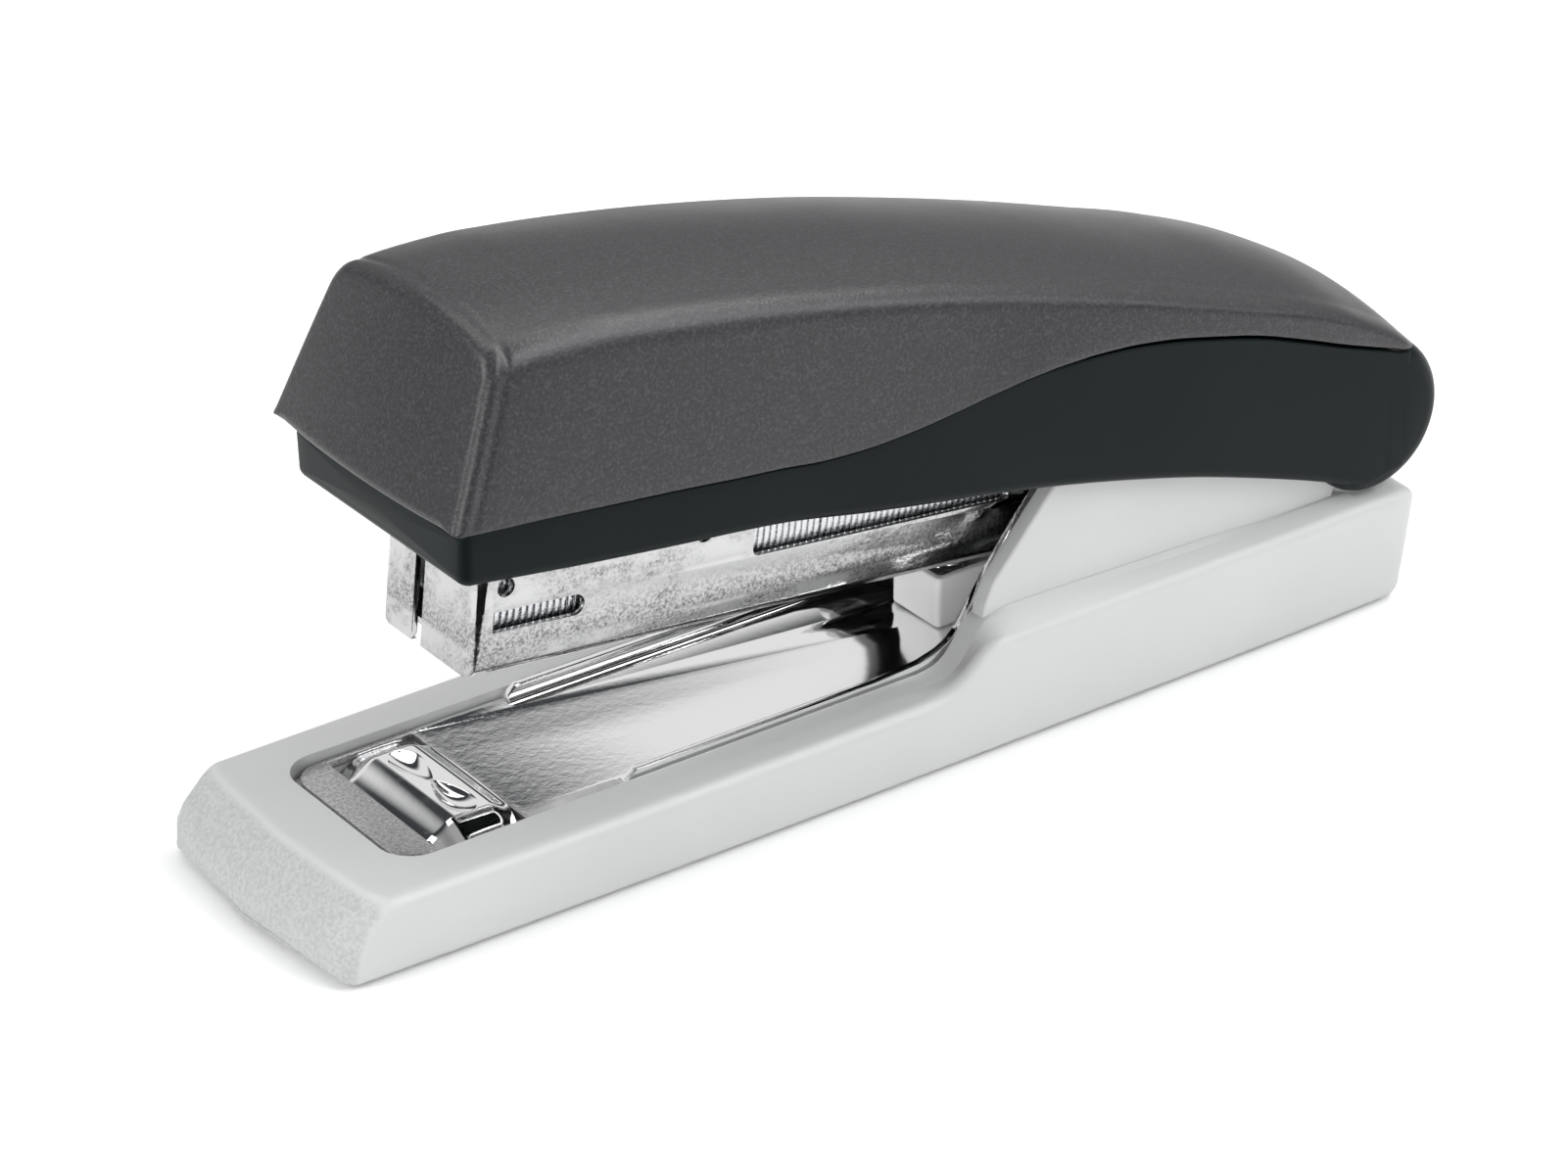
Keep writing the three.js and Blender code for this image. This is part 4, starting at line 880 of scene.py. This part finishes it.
def build_base():
    ob = skin("base", base_ring, -79, 52.5, 190, nose, tail, r_front=0.95, r_rear=1.9, fil=8, cap=12)
    cut(ob, lathe("clear", [(0, -16.5)] + [(R_BARREL + CROWN * max(0, 1 - (y / HALF) ** 2) + 0.35, y) for y in np.linspace(-16.5, 16.5, 41)] + [(0, 16.5)], (HX, 0, HZ), "y", 96))
    for s in (-1, 1):
        join(ob, prism("cheek", cheek_points(), min(s * CHEEK_IN, s * CHEEK_OUT), max(s * CHEEK_IN, s * CHEEK_OUT), r=0.3, seg=4))
    plan = [(52, -10.3), (52, 10.3), (-61.2, 10.3)] + arc(-61.2, 6.9, 3.4, 90, 180, 14) + arc(-61.2, -6.9, 3.4, 180, 270, 14)
    cut(ob, prism("trough", plan, 6.0, 40, "z"))
    cut(ob, box("pocket", -59.8, -50.8, -9.45, 9.45, 4.9, 20))
    for a, b, c in ((-64.5, -48.5, 2.9), (-46.5, -18, 3.9), (-16, 9, 3.9), (11, 35.5, 3.9)):
        cut(ob, prism("hollow", rounded([(a, -11.6), (b, -11.6), (b, 11.6), (a, 11.6)], 1.2, 5), -1, c, "z"))
    # ribs across the underside hollows
    for x in (-32.5, -3.5, 23.5):
        join(ob, box("urib", x - 0.6, x + 0.6, -11.8, 11.8, 1.2, 4.2))
    cut(ob, rod("ph", (HX, 0, HZ), 1.8, -16, 16))
    for x in (16, 30, -55.2):
        cut(ob, rod("sh", (x, 0, 0), 1.35, -1, 8, "z"))
        cut(ob, rod("shc", (x, 0, 0), 2.75, -1, 3.6 if x > 0 else 2.6, "z"))
    for x in (-68.9, 41.6):
        cut(ob, prism("fp", rounded([(x - 3.6, -10.6), (x + 3.6, -10.6), (x + 3.6, 10.6), (x - 3.6, 10.6)], 1.0, 5), -1, 1.7, "z"))
    cut(ob, box("rearslot", 40.9, 60, -CHEEK_IN, CHEEK_IN, 6.0, 40))
    return finish_piece(ob, "base_shell", 34)


# ------------------------------------------------------------------ plate and anvil
def build_plate():
    zb, zt = PLATE_TOP - 0.6, PLATE_TOP
    plan = [(39.5, -EAR_OUT), (39.5, EAR_OUT), (-60.6, EAR_OUT)] + arc(-60.6, 6.9, 3.0, 90, 180, 12) + arc(-60.6, -6.9, 3.0, 180, 270, 12) + [(-60.6, -EAR_OUT)]
    floor = prism("floor", plan, zb, zt, "z")
    bevel(floor, 0.12, 2)
    # folded section: floor, inner bend, upright
    sec = [(-EAR_OUT, 26), (-EAR_OUT, zb), (EAR_OUT, zb), (EAR_OUT, 26), (EAR_IN, 26), (EAR_IN, zt), (-EAR_IN, zt), (-EAR_IN, 26)]
    fold = prism("fold", rounded(sec, [0, 0.9, 0.9, 0, 0, 0.95, 0.95, 0], 8), -41.2, 50, "x")
    side = rounded([(-41.0, zb - 1), (-40.8, 7.25), (-39.6, 8.2), (-13, 8.2), (-8, 8.5), (-5.8, 9.05), (-4.7, 9.6), (-3.6, 10.6), (-2.2, 12.6), (0.0, 15.9), (3.4, 20.1), (6.3, 23.3), (8.2, 24.6), (36, 24.4)],
                   [0, 0.5, 0.7, 3, 3, 3, 2, 2, 3, 4, 5, 2, 1.5, 0], 5)
    out = [tuple(p) for p in side] + arc(HX, HZ, 4.6, 110, -125, 28) + [(39.2, 13.0), (38.8, zb - 1)]
    meet(fold, prism("pf", out, -16, 16))
    join(floor, fold)
    # holes for the hinge pin and the anvil, then the screw holes
    cut(floor, rod("pinh", (HX, 0, HZ), 1.55, -16, 16), box("ap", -59.9, -50.9, -9.35, 9.35, 0, 20))
    for x in (16, 30):
        cut(floor, rod("psh", (x, 0, 0), 1.35, 0, 8, "z"))
    bevel(floor, 0.1, 2, 50)
    return finish_piece(floor, "base_plate", 40)


def anvil_height(x, y):
    x, y = np.asarray(x, float), np.asarray(y, float)
    h = 7.80 - 0.010 * (y / 3) ** 2 - 0.012 * (x + 54.9) ** 2
    h = h - 1.3 * smooth(-x, 56.4, 59.5) - 0.6 * smooth(x, -53.0, -50.8)
    h = h - 1.15 * smooth(np.abs(y), 6.2, 9.2)
    # two crimping hollows, wide outside and narrow where they meet at a low ridge
    d = 0
    for s in (1, -1):
        w = 0.75 + 0.95 * np.clip(s * y / 5.0, 0, 1)
        u = (x + 54.75) / w
        v = (s * y - 3.25) / 3.2
        q = np.maximum(0, 1 - u * u - v * v)
        d = np.maximum(d, 0.62 * q)
    return h - d


def build_anvil():
    n, rings = 240, 90
    def rim(a):
        c, s = math.cos(a), math.sin(a)
        p = 8.0
        k = (abs(c) ** p + abs(s) ** p) ** (-1 / p)
        x, y = -55.15 + 4.35 * c * k, 9.25 * s * k
        if x > -55.2:
            x -= 0.35 * (y / 9.25) ** 2 * (x + 55.2) / 4.3
        return np.array([x, y])
    R = np.array([rim(2 * math.pi * i / n) for i in range(n)])
    c = np.array([-55.2, 0])
    V, F = [], []
    for k in range(rings):
        t = 1 - (k / rings)
        Q = c + (R - c) * t
        V += [(q[0], q[1], float(anvil_height(q[0], q[1]))) for q in Q]
    V.append((c[0], c[1], float(anvil_height(c[0], c[1]))))
    top = len(V) - 1
    for k in range(rings - 1):
        for i in range(n):
            a, b = k * n + i, k * n + (i + 1) % n
            F.append((a, b, b + n, a + n))
    for i in range(n):
        F.append(((rings - 1) * n + i, (rings - 1) * n + (i + 1) % n, top))
    base = len(V)
    V += [(q[0], q[1], 5.2) for q in R]
    for i in range(n):
        F.append((i, base + i, base + (i + 1) % n, (i + 1) % n))
    F.append([base + i for i in range(n)])
    ob = new("anvil", V, F)
    cut(ob, rod("as", (-55.2, 0, 0), 1.3, 4, 6.6, "z"))
    return finish_piece(ob, "anvil", 40)


# ------------------------------------------------------------------ small base pieces
def build_base_small():
    pts = rounded([(-1.0, -3.55), (8.4, -3.55), (8.4, 3.55), (-1.0, 3.55)], 0.55, 6)
    sl = prism("sleeve", pts, PLATE_TOP + 0.1, 12.2, "z", r=0.28, seg=4)
    cut(sl, prism("bore", rounded([(-0.4, -2.95), (7.6, -2.95), (7.6, 2.95), (-0.4, 2.95)], 0.4, 5), 6.0, 20, "z"))
    finish_piece(sl, "spring_block", 40)

    a = np.linspace(0, 5 * 2 * math.pi, 260)
    z = PLATE_TOP + 2.1 + (17.2 - PLATE_TOP - 2.1) * a / a[-1]
    sp = tube("rs", np.stack([3.35 + 1.35 * np.cos(a), 1.35 * np.sin(a), z], 1), 0.35, 12)
    finish_piece(sp, "return_spring", 60)
    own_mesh(sp)

    pin = rod("pin", (HX, 0, HZ), 1.5, -13.3, 13.3, dome=0.5, sides=64)
    finish_piece(pin, "hinge_pin", 40)

    for node, x, head, end in (("plate_screw_front", 16, 3.6, 7.6), ("plate_screw_rear", 30, 3.6, 7.6), ("anvil_screw", -55.2, 2.6, 6.6)):
        rows = [(0, head - 1.3), (1.5, head - 1.3), (2.1, head - 1.15), (2.4, head - 0.75), (2.4, head), (1.0, head)]
        z, k = head, 0
        while z < end - 0.5:
            rows += [(1.0, z + 0.05), (0.82, z + 0.2), (1.0, z + 0.35)]
            z += 0.4
        rows += [(0.9, end - 0.1), (0.6, end), (0, end)]
        sc = lathe("screw", rows, (x, 0, 0), "z", 48)
        cut(sc, box("x1", x - 1.4, x + 1.4, -0.28, 0.28, head - 2, head - 0.7), box("x2", x - 0.28, x + 0.28, -1.4, 1.4, head - 2, head - 0.7))
        finish_piece(sc, node, 40)

    for node, x in (("foot_pad_front", -68.9), ("foot_pad_rear", 41.6)):
        pad = prism("pad", rounded([(x - 3.3, -10.3), (x + 3.3, -10.3), (x + 3.3, 10.3), (x - 3.3, 10.3)], 0.9, 6), 0, 1.4, "z", r=0.2, seg=3)
        for k in range(-4, 5):
            cut(pad, box("gr", x - 2.5, x + 2.5, k * 2.1 - 0.25, k * 2.1 + 0.25, -1, 0.3))
        finish_piece(pad, node, 40)


# ------------------------------------------------------------------ magazine
def build_magazine():
    W = [(-MH, MT), (-MH, MB + 2.9), (-MH + 0.5, MB + 0.9), (-MH + 1.3, MB), (MH - 1.3, MB), (MH - 0.5, MB + 0.9), (MH, MB + 2.9), (MH, MT)]
    outer = prism("mo", rounded(W, [0, 2.2, 0.9, 0.9, 0.9, 0.9, 2.2, 0], 8), MF, 4.8, "x", where=mag)
    i = MH - SH
    Wi = [(-i, MT + 2), (-i, MB + 2.9), (-i + 0.45, MB + 1.1), (-i + 1.1, MB + SH), (i - 1.1, MB + SH), (i - 0.45, MB + 1.1), (i, MB + 2.9), (i, MT + 2)]
    inner = prism("mi", rounded(Wi, [0, 1.6, 0.4, 0.4, 0.4, 0.4, 1.6, 0], 8), MF - 2, 6, "x", where=mag)
    # plan outlines round the folded front corners
    po = prism("po", [(6, -9), (6, 9), (-60, 9)] + [tuple(p) for p in rounded([(-60, MH), (MF, MH), (MF, -MH), (-60, -MH)], [0, 1.35, 1.35, 0], 10)] + [(-60, -9)], MB - 2, MT + 2, "z", where=mag)
    pi = prism("pi", [(8, -9), (8, 9), (-60, 9)] + [tuple(p) for p in rounded([(-60, i), (MF + SH, i), (MF + SH, -i), (-60, -i)], [0, 0.8, 0.8, 0], 10)] + [(-60, -9)], MB - 3, MT + 3, "z", where=mag)
    meet(outer, po)
    meet(inner, pi)
    cut(outer, inner)
    keep = [(MF - 1, MB - 1), (-42.2, MB - 1), (-41.6, MB + 0.1), (-40.2, MB + 1.6), (-38.7, MB + 3.6), (-34.5, MB + 4.5), (-3.6, MB + 4.6)]
    keep = [tuple(p) for p in rounded(keep + [(0, MB + 4.65)], [0, 0, 1, 2, 3, 4, 0, 0], 5)][:-1] + arc(0, 0, 4.8, -88, 90, 24) + [(0, MT + 1), (MF - 1, MT + 1)]
    meet(outer, prism("keep", keep, -9, 9, where=mag))
    cut(outer, box("fs", MF - 1, MF + SH + 0.05, 0.9, 2.4, MB - 1, MT + 1, mag),
        box("ex", MF + SH, MF + 2.4, -6.9, 6.9, MB - 1, MB + 2, mag),
        box("fl", -52.5, 6, -6.0, 6.0, MB - 1, MB + SH + 0.1, mag))
    slot = [(-97.1, -5.0), (-88.6, -5.0)] + arc(-88.6, -4.0, 1.0, -90, 90, 14) + [(-97.1, -3.0)]
    win = rounded([(-69.6, -3.2), (-40.4, -3.2), (-40.4, 1.4), (-69.6, 1.4)], 0.7, 6)
    for s in (-1, 1):
        lo, hi = min(s * (MH - 1), s * (MH + 1)), max(s * (MH - 1), s * (MH + 1))
        cut(outer, prism("s", rounded(slot[:2] + slot[2:], 0, 1) if False else slot, lo, hi, where=mag), prism("w", win, lo, hi, where=mag),
            prism("n", rounded([(-75.9, MT + 1), (-75.9, -0.7), (-74.3, -0.7), (-74.3, MT + 1)], [0, 0.7, 0.7, 0], 5), lo, hi, where=mag),
            prism("h", arc(-96.0, -0.8, 0.9, 0, 345, 23), lo, hi, where=mag))
    cut(outer, rod("mp", (0, 0, 0), 1.8, -9, 9, where=mag))
    bevel(outer, 0.1, 2, 50)
    finish_piece(outer, "magazine_channel", 40)

    RF = MF + 2.35
    h = RAIL_HALF
    sec = [(-h, -5.8), (-h, RAIL_TOP), (h, RAIL_TOP), (h, -5.8), (h - 0.7, -5.8), (h - 0.7, RAIL_TOP - 0.7), (-h + 0.7, RAIL_TOP - 0.7), (-h + 0.7, -5.8)]
    rail = prism("rail", rounded(sec, [0, 0.8, 0.8, 0, 0, 0.3, 0.3, 0], 6), RF, 4.8, "x", where=mag)
    join(rail, box("rf", RF, RF + 0.8, -h + 0.2, h - 0.2, -5.8, RAIL_TOP - 0.2, mag), box("rr", -5.8, -5.0, -h + 0.2, h - 0.2, -5.0, RAIL_TOP - 0.2, mag))
    meet(rail, prism("rk", [(RF - 1, -5.8), (-4, -5.8)] + arc(0, 0, 4.4, -90, 90, 16) + [(-4, 6), (RF - 1, 6)], -9, 9, where=mag))
    cut(rail, box("rc", -3.4, 6, -4.6, 4.6, -7, 7, mag))
    for s in (-1, 1):
        join(rail, rod("lobe", (0, 0, 0), 4.4, min(s * (h - 0.7), s * h), max(s * (h - 0.7), s * h), sides=72, where=mag, chamfer=0.06))
    cut(rail, rod("rp", (0, 0, 0), 1.8, -9, 9, where=mag), rod("rb", (0, 0, -3.1), 1.25, -7, -4, "x", where=mag), rod("rb2", (0, 0, -3.1), 1.25, RF - 1, RF + 2, "x", where=mag))
    bevel(rail, 0.08, 2, 50)
    finish_piece(rail, "staple_rail", 40)

    # staples: one strip is a row of formed wires, with a groove at every joint line
    def strip(node, x0, count):
        H, top, leg, w, r = 6.5, 1.25, -5.2, 0.5, 0.5
        out = rounded([(-H, leg), (-H, top), (H, top), (H, leg)], [0, r, r, 0], 5)
        inn = rounded([(-H + w, leg), (-H + w, top - w), (H - w, top - w), (H - w, leg)], [0, 0.15, 0.15, 0], 5)
        P = np.array([tuple(p) for p in out] + [tuple(p) for p in inn[::-1]])
        P = dedupe(P)
        n = len(P)
        t = np.roll(P, -1, 0) - np.roll(P, 1, 0)
        t /= np.linalg.norm(t, axis=1)[:, None]
        area = 0.5 * np.sum(P[:, 0] * np.roll(P[:, 1], -1) - np.roll(P[:, 0], -1) * P[:, 1])
        nn = np.stack([t[:, 1], -t[:, 0]], 1) * (1 if area > 0 else -1)
        V, F = [], []
        prof = [(0.0, 0.13), (0.07, 0.045), (0.16, 0.0), (0.54, 0.0), (0.63, 0.045)]
        rows = []
        for k in range(count):
            rows += [(x0 + k * PITCH + dx, ins) for dx, ins in prof]
        rows.append((x0 + count * PITCH, 0.13))
        for x, ins in rows:
            Q = P - nn * ins
            V += [(x, q[0], q[1]) for q in Q]
        m = len(rows)
        for s in range(m - 1):
            for i2 in range(n):
                a, b = s * n + i2, s * n + (i2 + 1) % n
                F.append((a, b, b + n, a + n))
        tri = tessellate_polygon([[Vector((p[0], p[1], 0)) for p in P]])
        for tr in tri:
            F.append(list(tr)[::-1])
            F.append([(m - 1) * n + k for k in tr])
        finish_piece(new("strip", V, F, mag), node, 30)
    strip("staple_strip_front", RF, 50)
    strip("staple_strip_rear", RF + 35.1, 43)
    s_end = RF + 35.1 + 43 * PITCH
    p0, p1 = s_end + 0.3, s_end + 9.3

    finish_piece(rod("gr", (0, 0, -3.1), 0.95, RF + 0.05, -4.2, "x", 32, where=mag), "guide_rod", 40)
    a = np.linspace(0, 9 * 2 * math.pi, 420)
    sp = tube("ps", np.stack([p1 + 0.6 + (-6.5 - p1 - 0.6) * a / a[-1], 1.75 * np.cos(a), -3.1 + 1.75 * np.sin(a)], 1), 0.25, 10, mag)
    finish_piece(sp, "pusher_spring", 60)
    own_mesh(sp)

    pu = prism("pu", rounded([(-6.4, -6.8), (-6.4, 1.2), (6.4, 1.2), (6.4, -6.8)], [0, 0.5, 0.5, 0], 5), p0, p1, "x", where=mag)
    g = 0.25
    cut(pu, prism("puc", [(-h - g, -6.1), (-h - g, RAIL_TOP + g), (h + g, RAIL_TOP + g), (h + g, -6.1), (h - 0.95, -6.1), (h - 0.95, RAIL_TOP - 0.95), (-h + 0.95, RAIL_TOP - 0.95), (-h + 0.95, -6.1)], p0 - 1, p1 + 1, "x", where=mag),
        rod("pub", (0, 0, -3.1), 1.3, p0 - 1, p1 + 1, "x", where=mag))
    bevel(pu, 0.12, 2, 50)
    finish_piece(pu, "pusher", 40)

    cap = prism("cap", rounded([(-0.15, 12.75), (5.9, 12.75), (5.9, 18.0), (-0.15, 18.6)], [0, 0, 0.6, 0.6], 5), -2.6, 2.6, r=0.25, seg=3)
    cut(cap, prism("capi", [(0.45, 12.0), (5.3, 12.0), (5.3, 17.4), (0.45, 17.9)], -2.05, 2.05))
    finish_piece(cap, "spring_cap", 40)


# ------------------------------------------------------------------ driver and leaf spring
def build_driver():
    def foot_z(x):
        return float(web_z(x)) - 1.8
    tip = np.array([-97.2, 2.0])
    lean = math.tan(math.radians(3))

    def loc(p):
        return (HX + p[0] * CT + p[1] * ST, HZ - p[0] * ST + p[1] * CT)
    b0, b1, b2 = loc((tip[0] - 0.25, tip[1])), loc((tip[0] + 0.25, tip[1])), loc((tip[0] + 0.25 + 14 * lean, tip[1] + 14))
    P = [b0, b1, (b2[0], foot_z(b2[0]) - 0.5), (-44.5, foot_z(-44.5) - 0.5), (-44.5, foot_z(-44.5)), (b2[0] - 0.5, foot_z(b2[0] - 0.5))]
    dr = prism("dr", rounded(P, [0, 0, 0.5, 0, 0, 1.0], 6), -6.45, 6.45)
    for s in (-1, 1):
        cut(dr, rod("drh", (-47.5, s * 4.2, 0), 1.2, 30, 60, "z"))
    bevel(dr, 0.08, 2, 50)
    finish_piece(dr, "driver_blade", 40)
    for s, node in ((-1, "driver_rivet_left"), (1, "driver_rivet_right")):
        fz, wz = foot_z(-47.5), float(web_z(-47.5))
        rows = [(0, fz - 1.9)] + [(1.9 * math.sin(math.pi / 2 * k / 8), fz - 1.1 - 0.8 * math.cos(math.pi / 2 * k / 8)) for k in range(1, 9)] + [(0.95, fz - 1.1), (0.95, wz + 0.6)]
        rows += [(1.7, wz + 0.6)] + [(1.7 * math.cos(math.pi / 2 * k / 8), wz + 0.6 + 0.6 * math.sin(math.pi / 2 * k / 8)) for k in range(1, 8)] + [(0, wz + 1.2)]
        finish_piece(lathe("rv", rows, (-47.5, s * 4.2, 0), "z", 40), node, 50)
    xs = np.linspace(-41.5, -12, 40)

    def leaf(x):
        t = (x + 41.5) / 29.5
        q = t * t * (3 - 2 * t)
        return (float(web_z(x)) - 1.85) * q + (1 - q) * 40.3
    P = [(x, leaf(x) - 0.45) for x in xs] + [(x, leaf(x)) for x in xs[::-1]]
    lf = prism("leaf", P, -3.2, 3.2)
    bevel(lf, 0.08, 2, 50)
    finish_piece(lf, "handle_spring", 40)


build_cover()
build_frame()
build_base()
build_plate()
build_anvil()
build_base_small()
build_magazine()
build_driver()


# ------------------------------------------------------------------ stage
def stage():
    me = bpy.data.meshes.new("floor")
    s = 0.5
    me.from_pydata([(-s, -s, 0), (s, -s, 0), (s, s, 0), (-s, s, 0)], [], [(0, 1, 2, 3)])
    fl = bpy.data.objects.new("floor", me)
    bpy.context.scene.collection.objects.link(fl)
    m, t, b = material("floor_white", (0.93, 0.93, 0.93), rough=0.55, spec=0.3)
    v = coords(t)
    t.links.new(ramp(t, noise(t, v, 6, 2, 0.5), [(0.3, (0.92, 0.92, 0.92)), (0.7, (0.945, 0.945, 0.945))]), b.inputs["Base Color"])
    me.materials.append(m)
    fl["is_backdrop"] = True

    def area(name, loc, target, size, power, colour=(1, 1, 1)):
        d = bpy.data.lights.new(name, "AREA")
        d.shape = "RECTANGLE"
        d.size, d.size_y = size
        d.energy = power
        d.color = colour
        o = bpy.data.objects.new(name, d)
        o.location = loc
        o.rotation_euler = (Vector(target) - Vector(loc)).to_track_quat("-Z", "Y").to_euler()
        bpy.context.scene.collection.objects.link(o)
        return o
    area("soft_top", (0.10, 0.30, 0.80), (0, 0, 0.03), (1.0, 0.5), 4.0)
    area("soft_left", (-0.80, 0.15, 0.50), (0, 0, 0.03), (0.35, 0.5), 3.4)
    area("soft_near", (0.45, -0.62, 0.62), (0, 0, 0.03), (0.9, 0.34), 4.0, (0.97, 0.98, 1.0))
    area("strip_ridge", (0.44, -0.20, 0.70), (0, 0, 0.04), (0.9, 0.07), 3.6)

    area("low_left", (-0.62, -0.42, 0.16), (0, 0, 0.02), (0.30, 0.14), 1.8)

    # dark flag lying towards the viewer: it gives the folded metal edges their black lines
    fm = bpy.data.meshes.new("flag")
    o0 = Vector((XS * 0.001 - 0.068, -0.018, 0.0006))
    rim = [(math.radians(180 + 36.34 + k), r) for r in (0.016, 0.42) for k in range(-44, 45, 8)]
    fv = [tuple(o0 + Vector((math.sin(q), math.cos(q), 0)) * r) for q, r in rim]
    half = len(fv) // 2
    fm.from_pydata(fv, [], [(k, k + 1, half + k + 1, half + k) for k in range(half - 1)])
    flag = bpy.data.objects.new("flag", fm)
    bpy.context.scene.collection.objects.link(flag)
    m, t, b = material("flag_black", (0.01, 0.01, 0.01), rough=0.9, spec=0.0)
    fm.materials.append(m)
    flag.visible_camera = flag.visible_diffuse = flag.visible_shadow = False
    flag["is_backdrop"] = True

    w = bpy.data.worlds.new("studio")
    bpy.context.scene.world = w
    w.use_nodes = True
    t = w.node_tree
    bg = t.nodes["Background"]
    tc = t.nodes.new("ShaderNodeTexCoord")
    sep = t.nodes.new("ShaderNodeSeparateXYZ")
    t.links.new(tc.outputs["Generated"], sep.inputs[0])
    dark, mid, lit = (0.05, 0.055, 0.06), (0.45, 0.45, 0.45), (1.0, 1.0, 1.0)
    col = ramp(t, remap(t, sep.outputs["Z"], 0.0, 1.0, 0, 1), [(0.0, lit), (0.05, lit), (0.11, dark), (0.21, dark), (0.30, lit), (0.56, lit), (0.66, dark), (0.78, dark), (0.90, mid), (1.0, mid)])
    t.links.new(col, bg.inputs["Color"])
    bg.inputs["Strength"].default_value = 0.78
    lp, plain_bg, mixer = t.nodes.new("ShaderNodeLightPath"), t.nodes.new("ShaderNodeBackground"), t.nodes.new("ShaderNodeMixShader")
    plain_bg.inputs["Color"].default_value = (0.93, 0.93, 0.93, 1)
    plain_bg.inputs["Strength"].default_value = 1.0
    t.links.new(lp.outputs["Is Camera Ray"], mixer.inputs[0])
    t.links.new(bg.outputs[0], mixer.inputs[1])
    t.links.new(plain_bg.outputs[0], mixer.inputs[2])
    t.links.new(mixer.outputs[0], next(n for n in t.nodes if n.type == "OUTPUT_WORLD").inputs["Surface"])

    cam = bpy.data.cameras.new("cam")
    cam.sensor_fit = "HORIZONTAL"
    cam.sensor_width = 36.0
    cam.lens = 5000 / 1601 * 36.0
    cam.clip_start, cam.clip_end = 0.01, 20
    o = bpy.data.objects.new("cam", cam)
    a, e = math.radians(36.34), math.radians(28.32)
    d = Vector((math.sin(a) * math.cos(e), math.cos(a) * math.cos(e), -math.sin(e)))
    target = Vector((XS * 0.001, 0.02199, 0))
    o.location = target - d * 0.480
    o.rotation_euler = d.to_track_quat("-Z", "Y").to_euler()
    bpy.context.scene.collection.objects.link(o)
    bpy.context.scene.camera = o
    bpy.context.scene.view_settings.view_transform = "Standard"
    bpy.context.scene.view_settings.look = "None"


stage()


def plain(b):
    return [[float(v) for v in c] for c in b] if hasattr(b[0], "__len__") else [float(v) for v in b]


{"cad": plain(CAD_BOX), "visual": plain(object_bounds())}
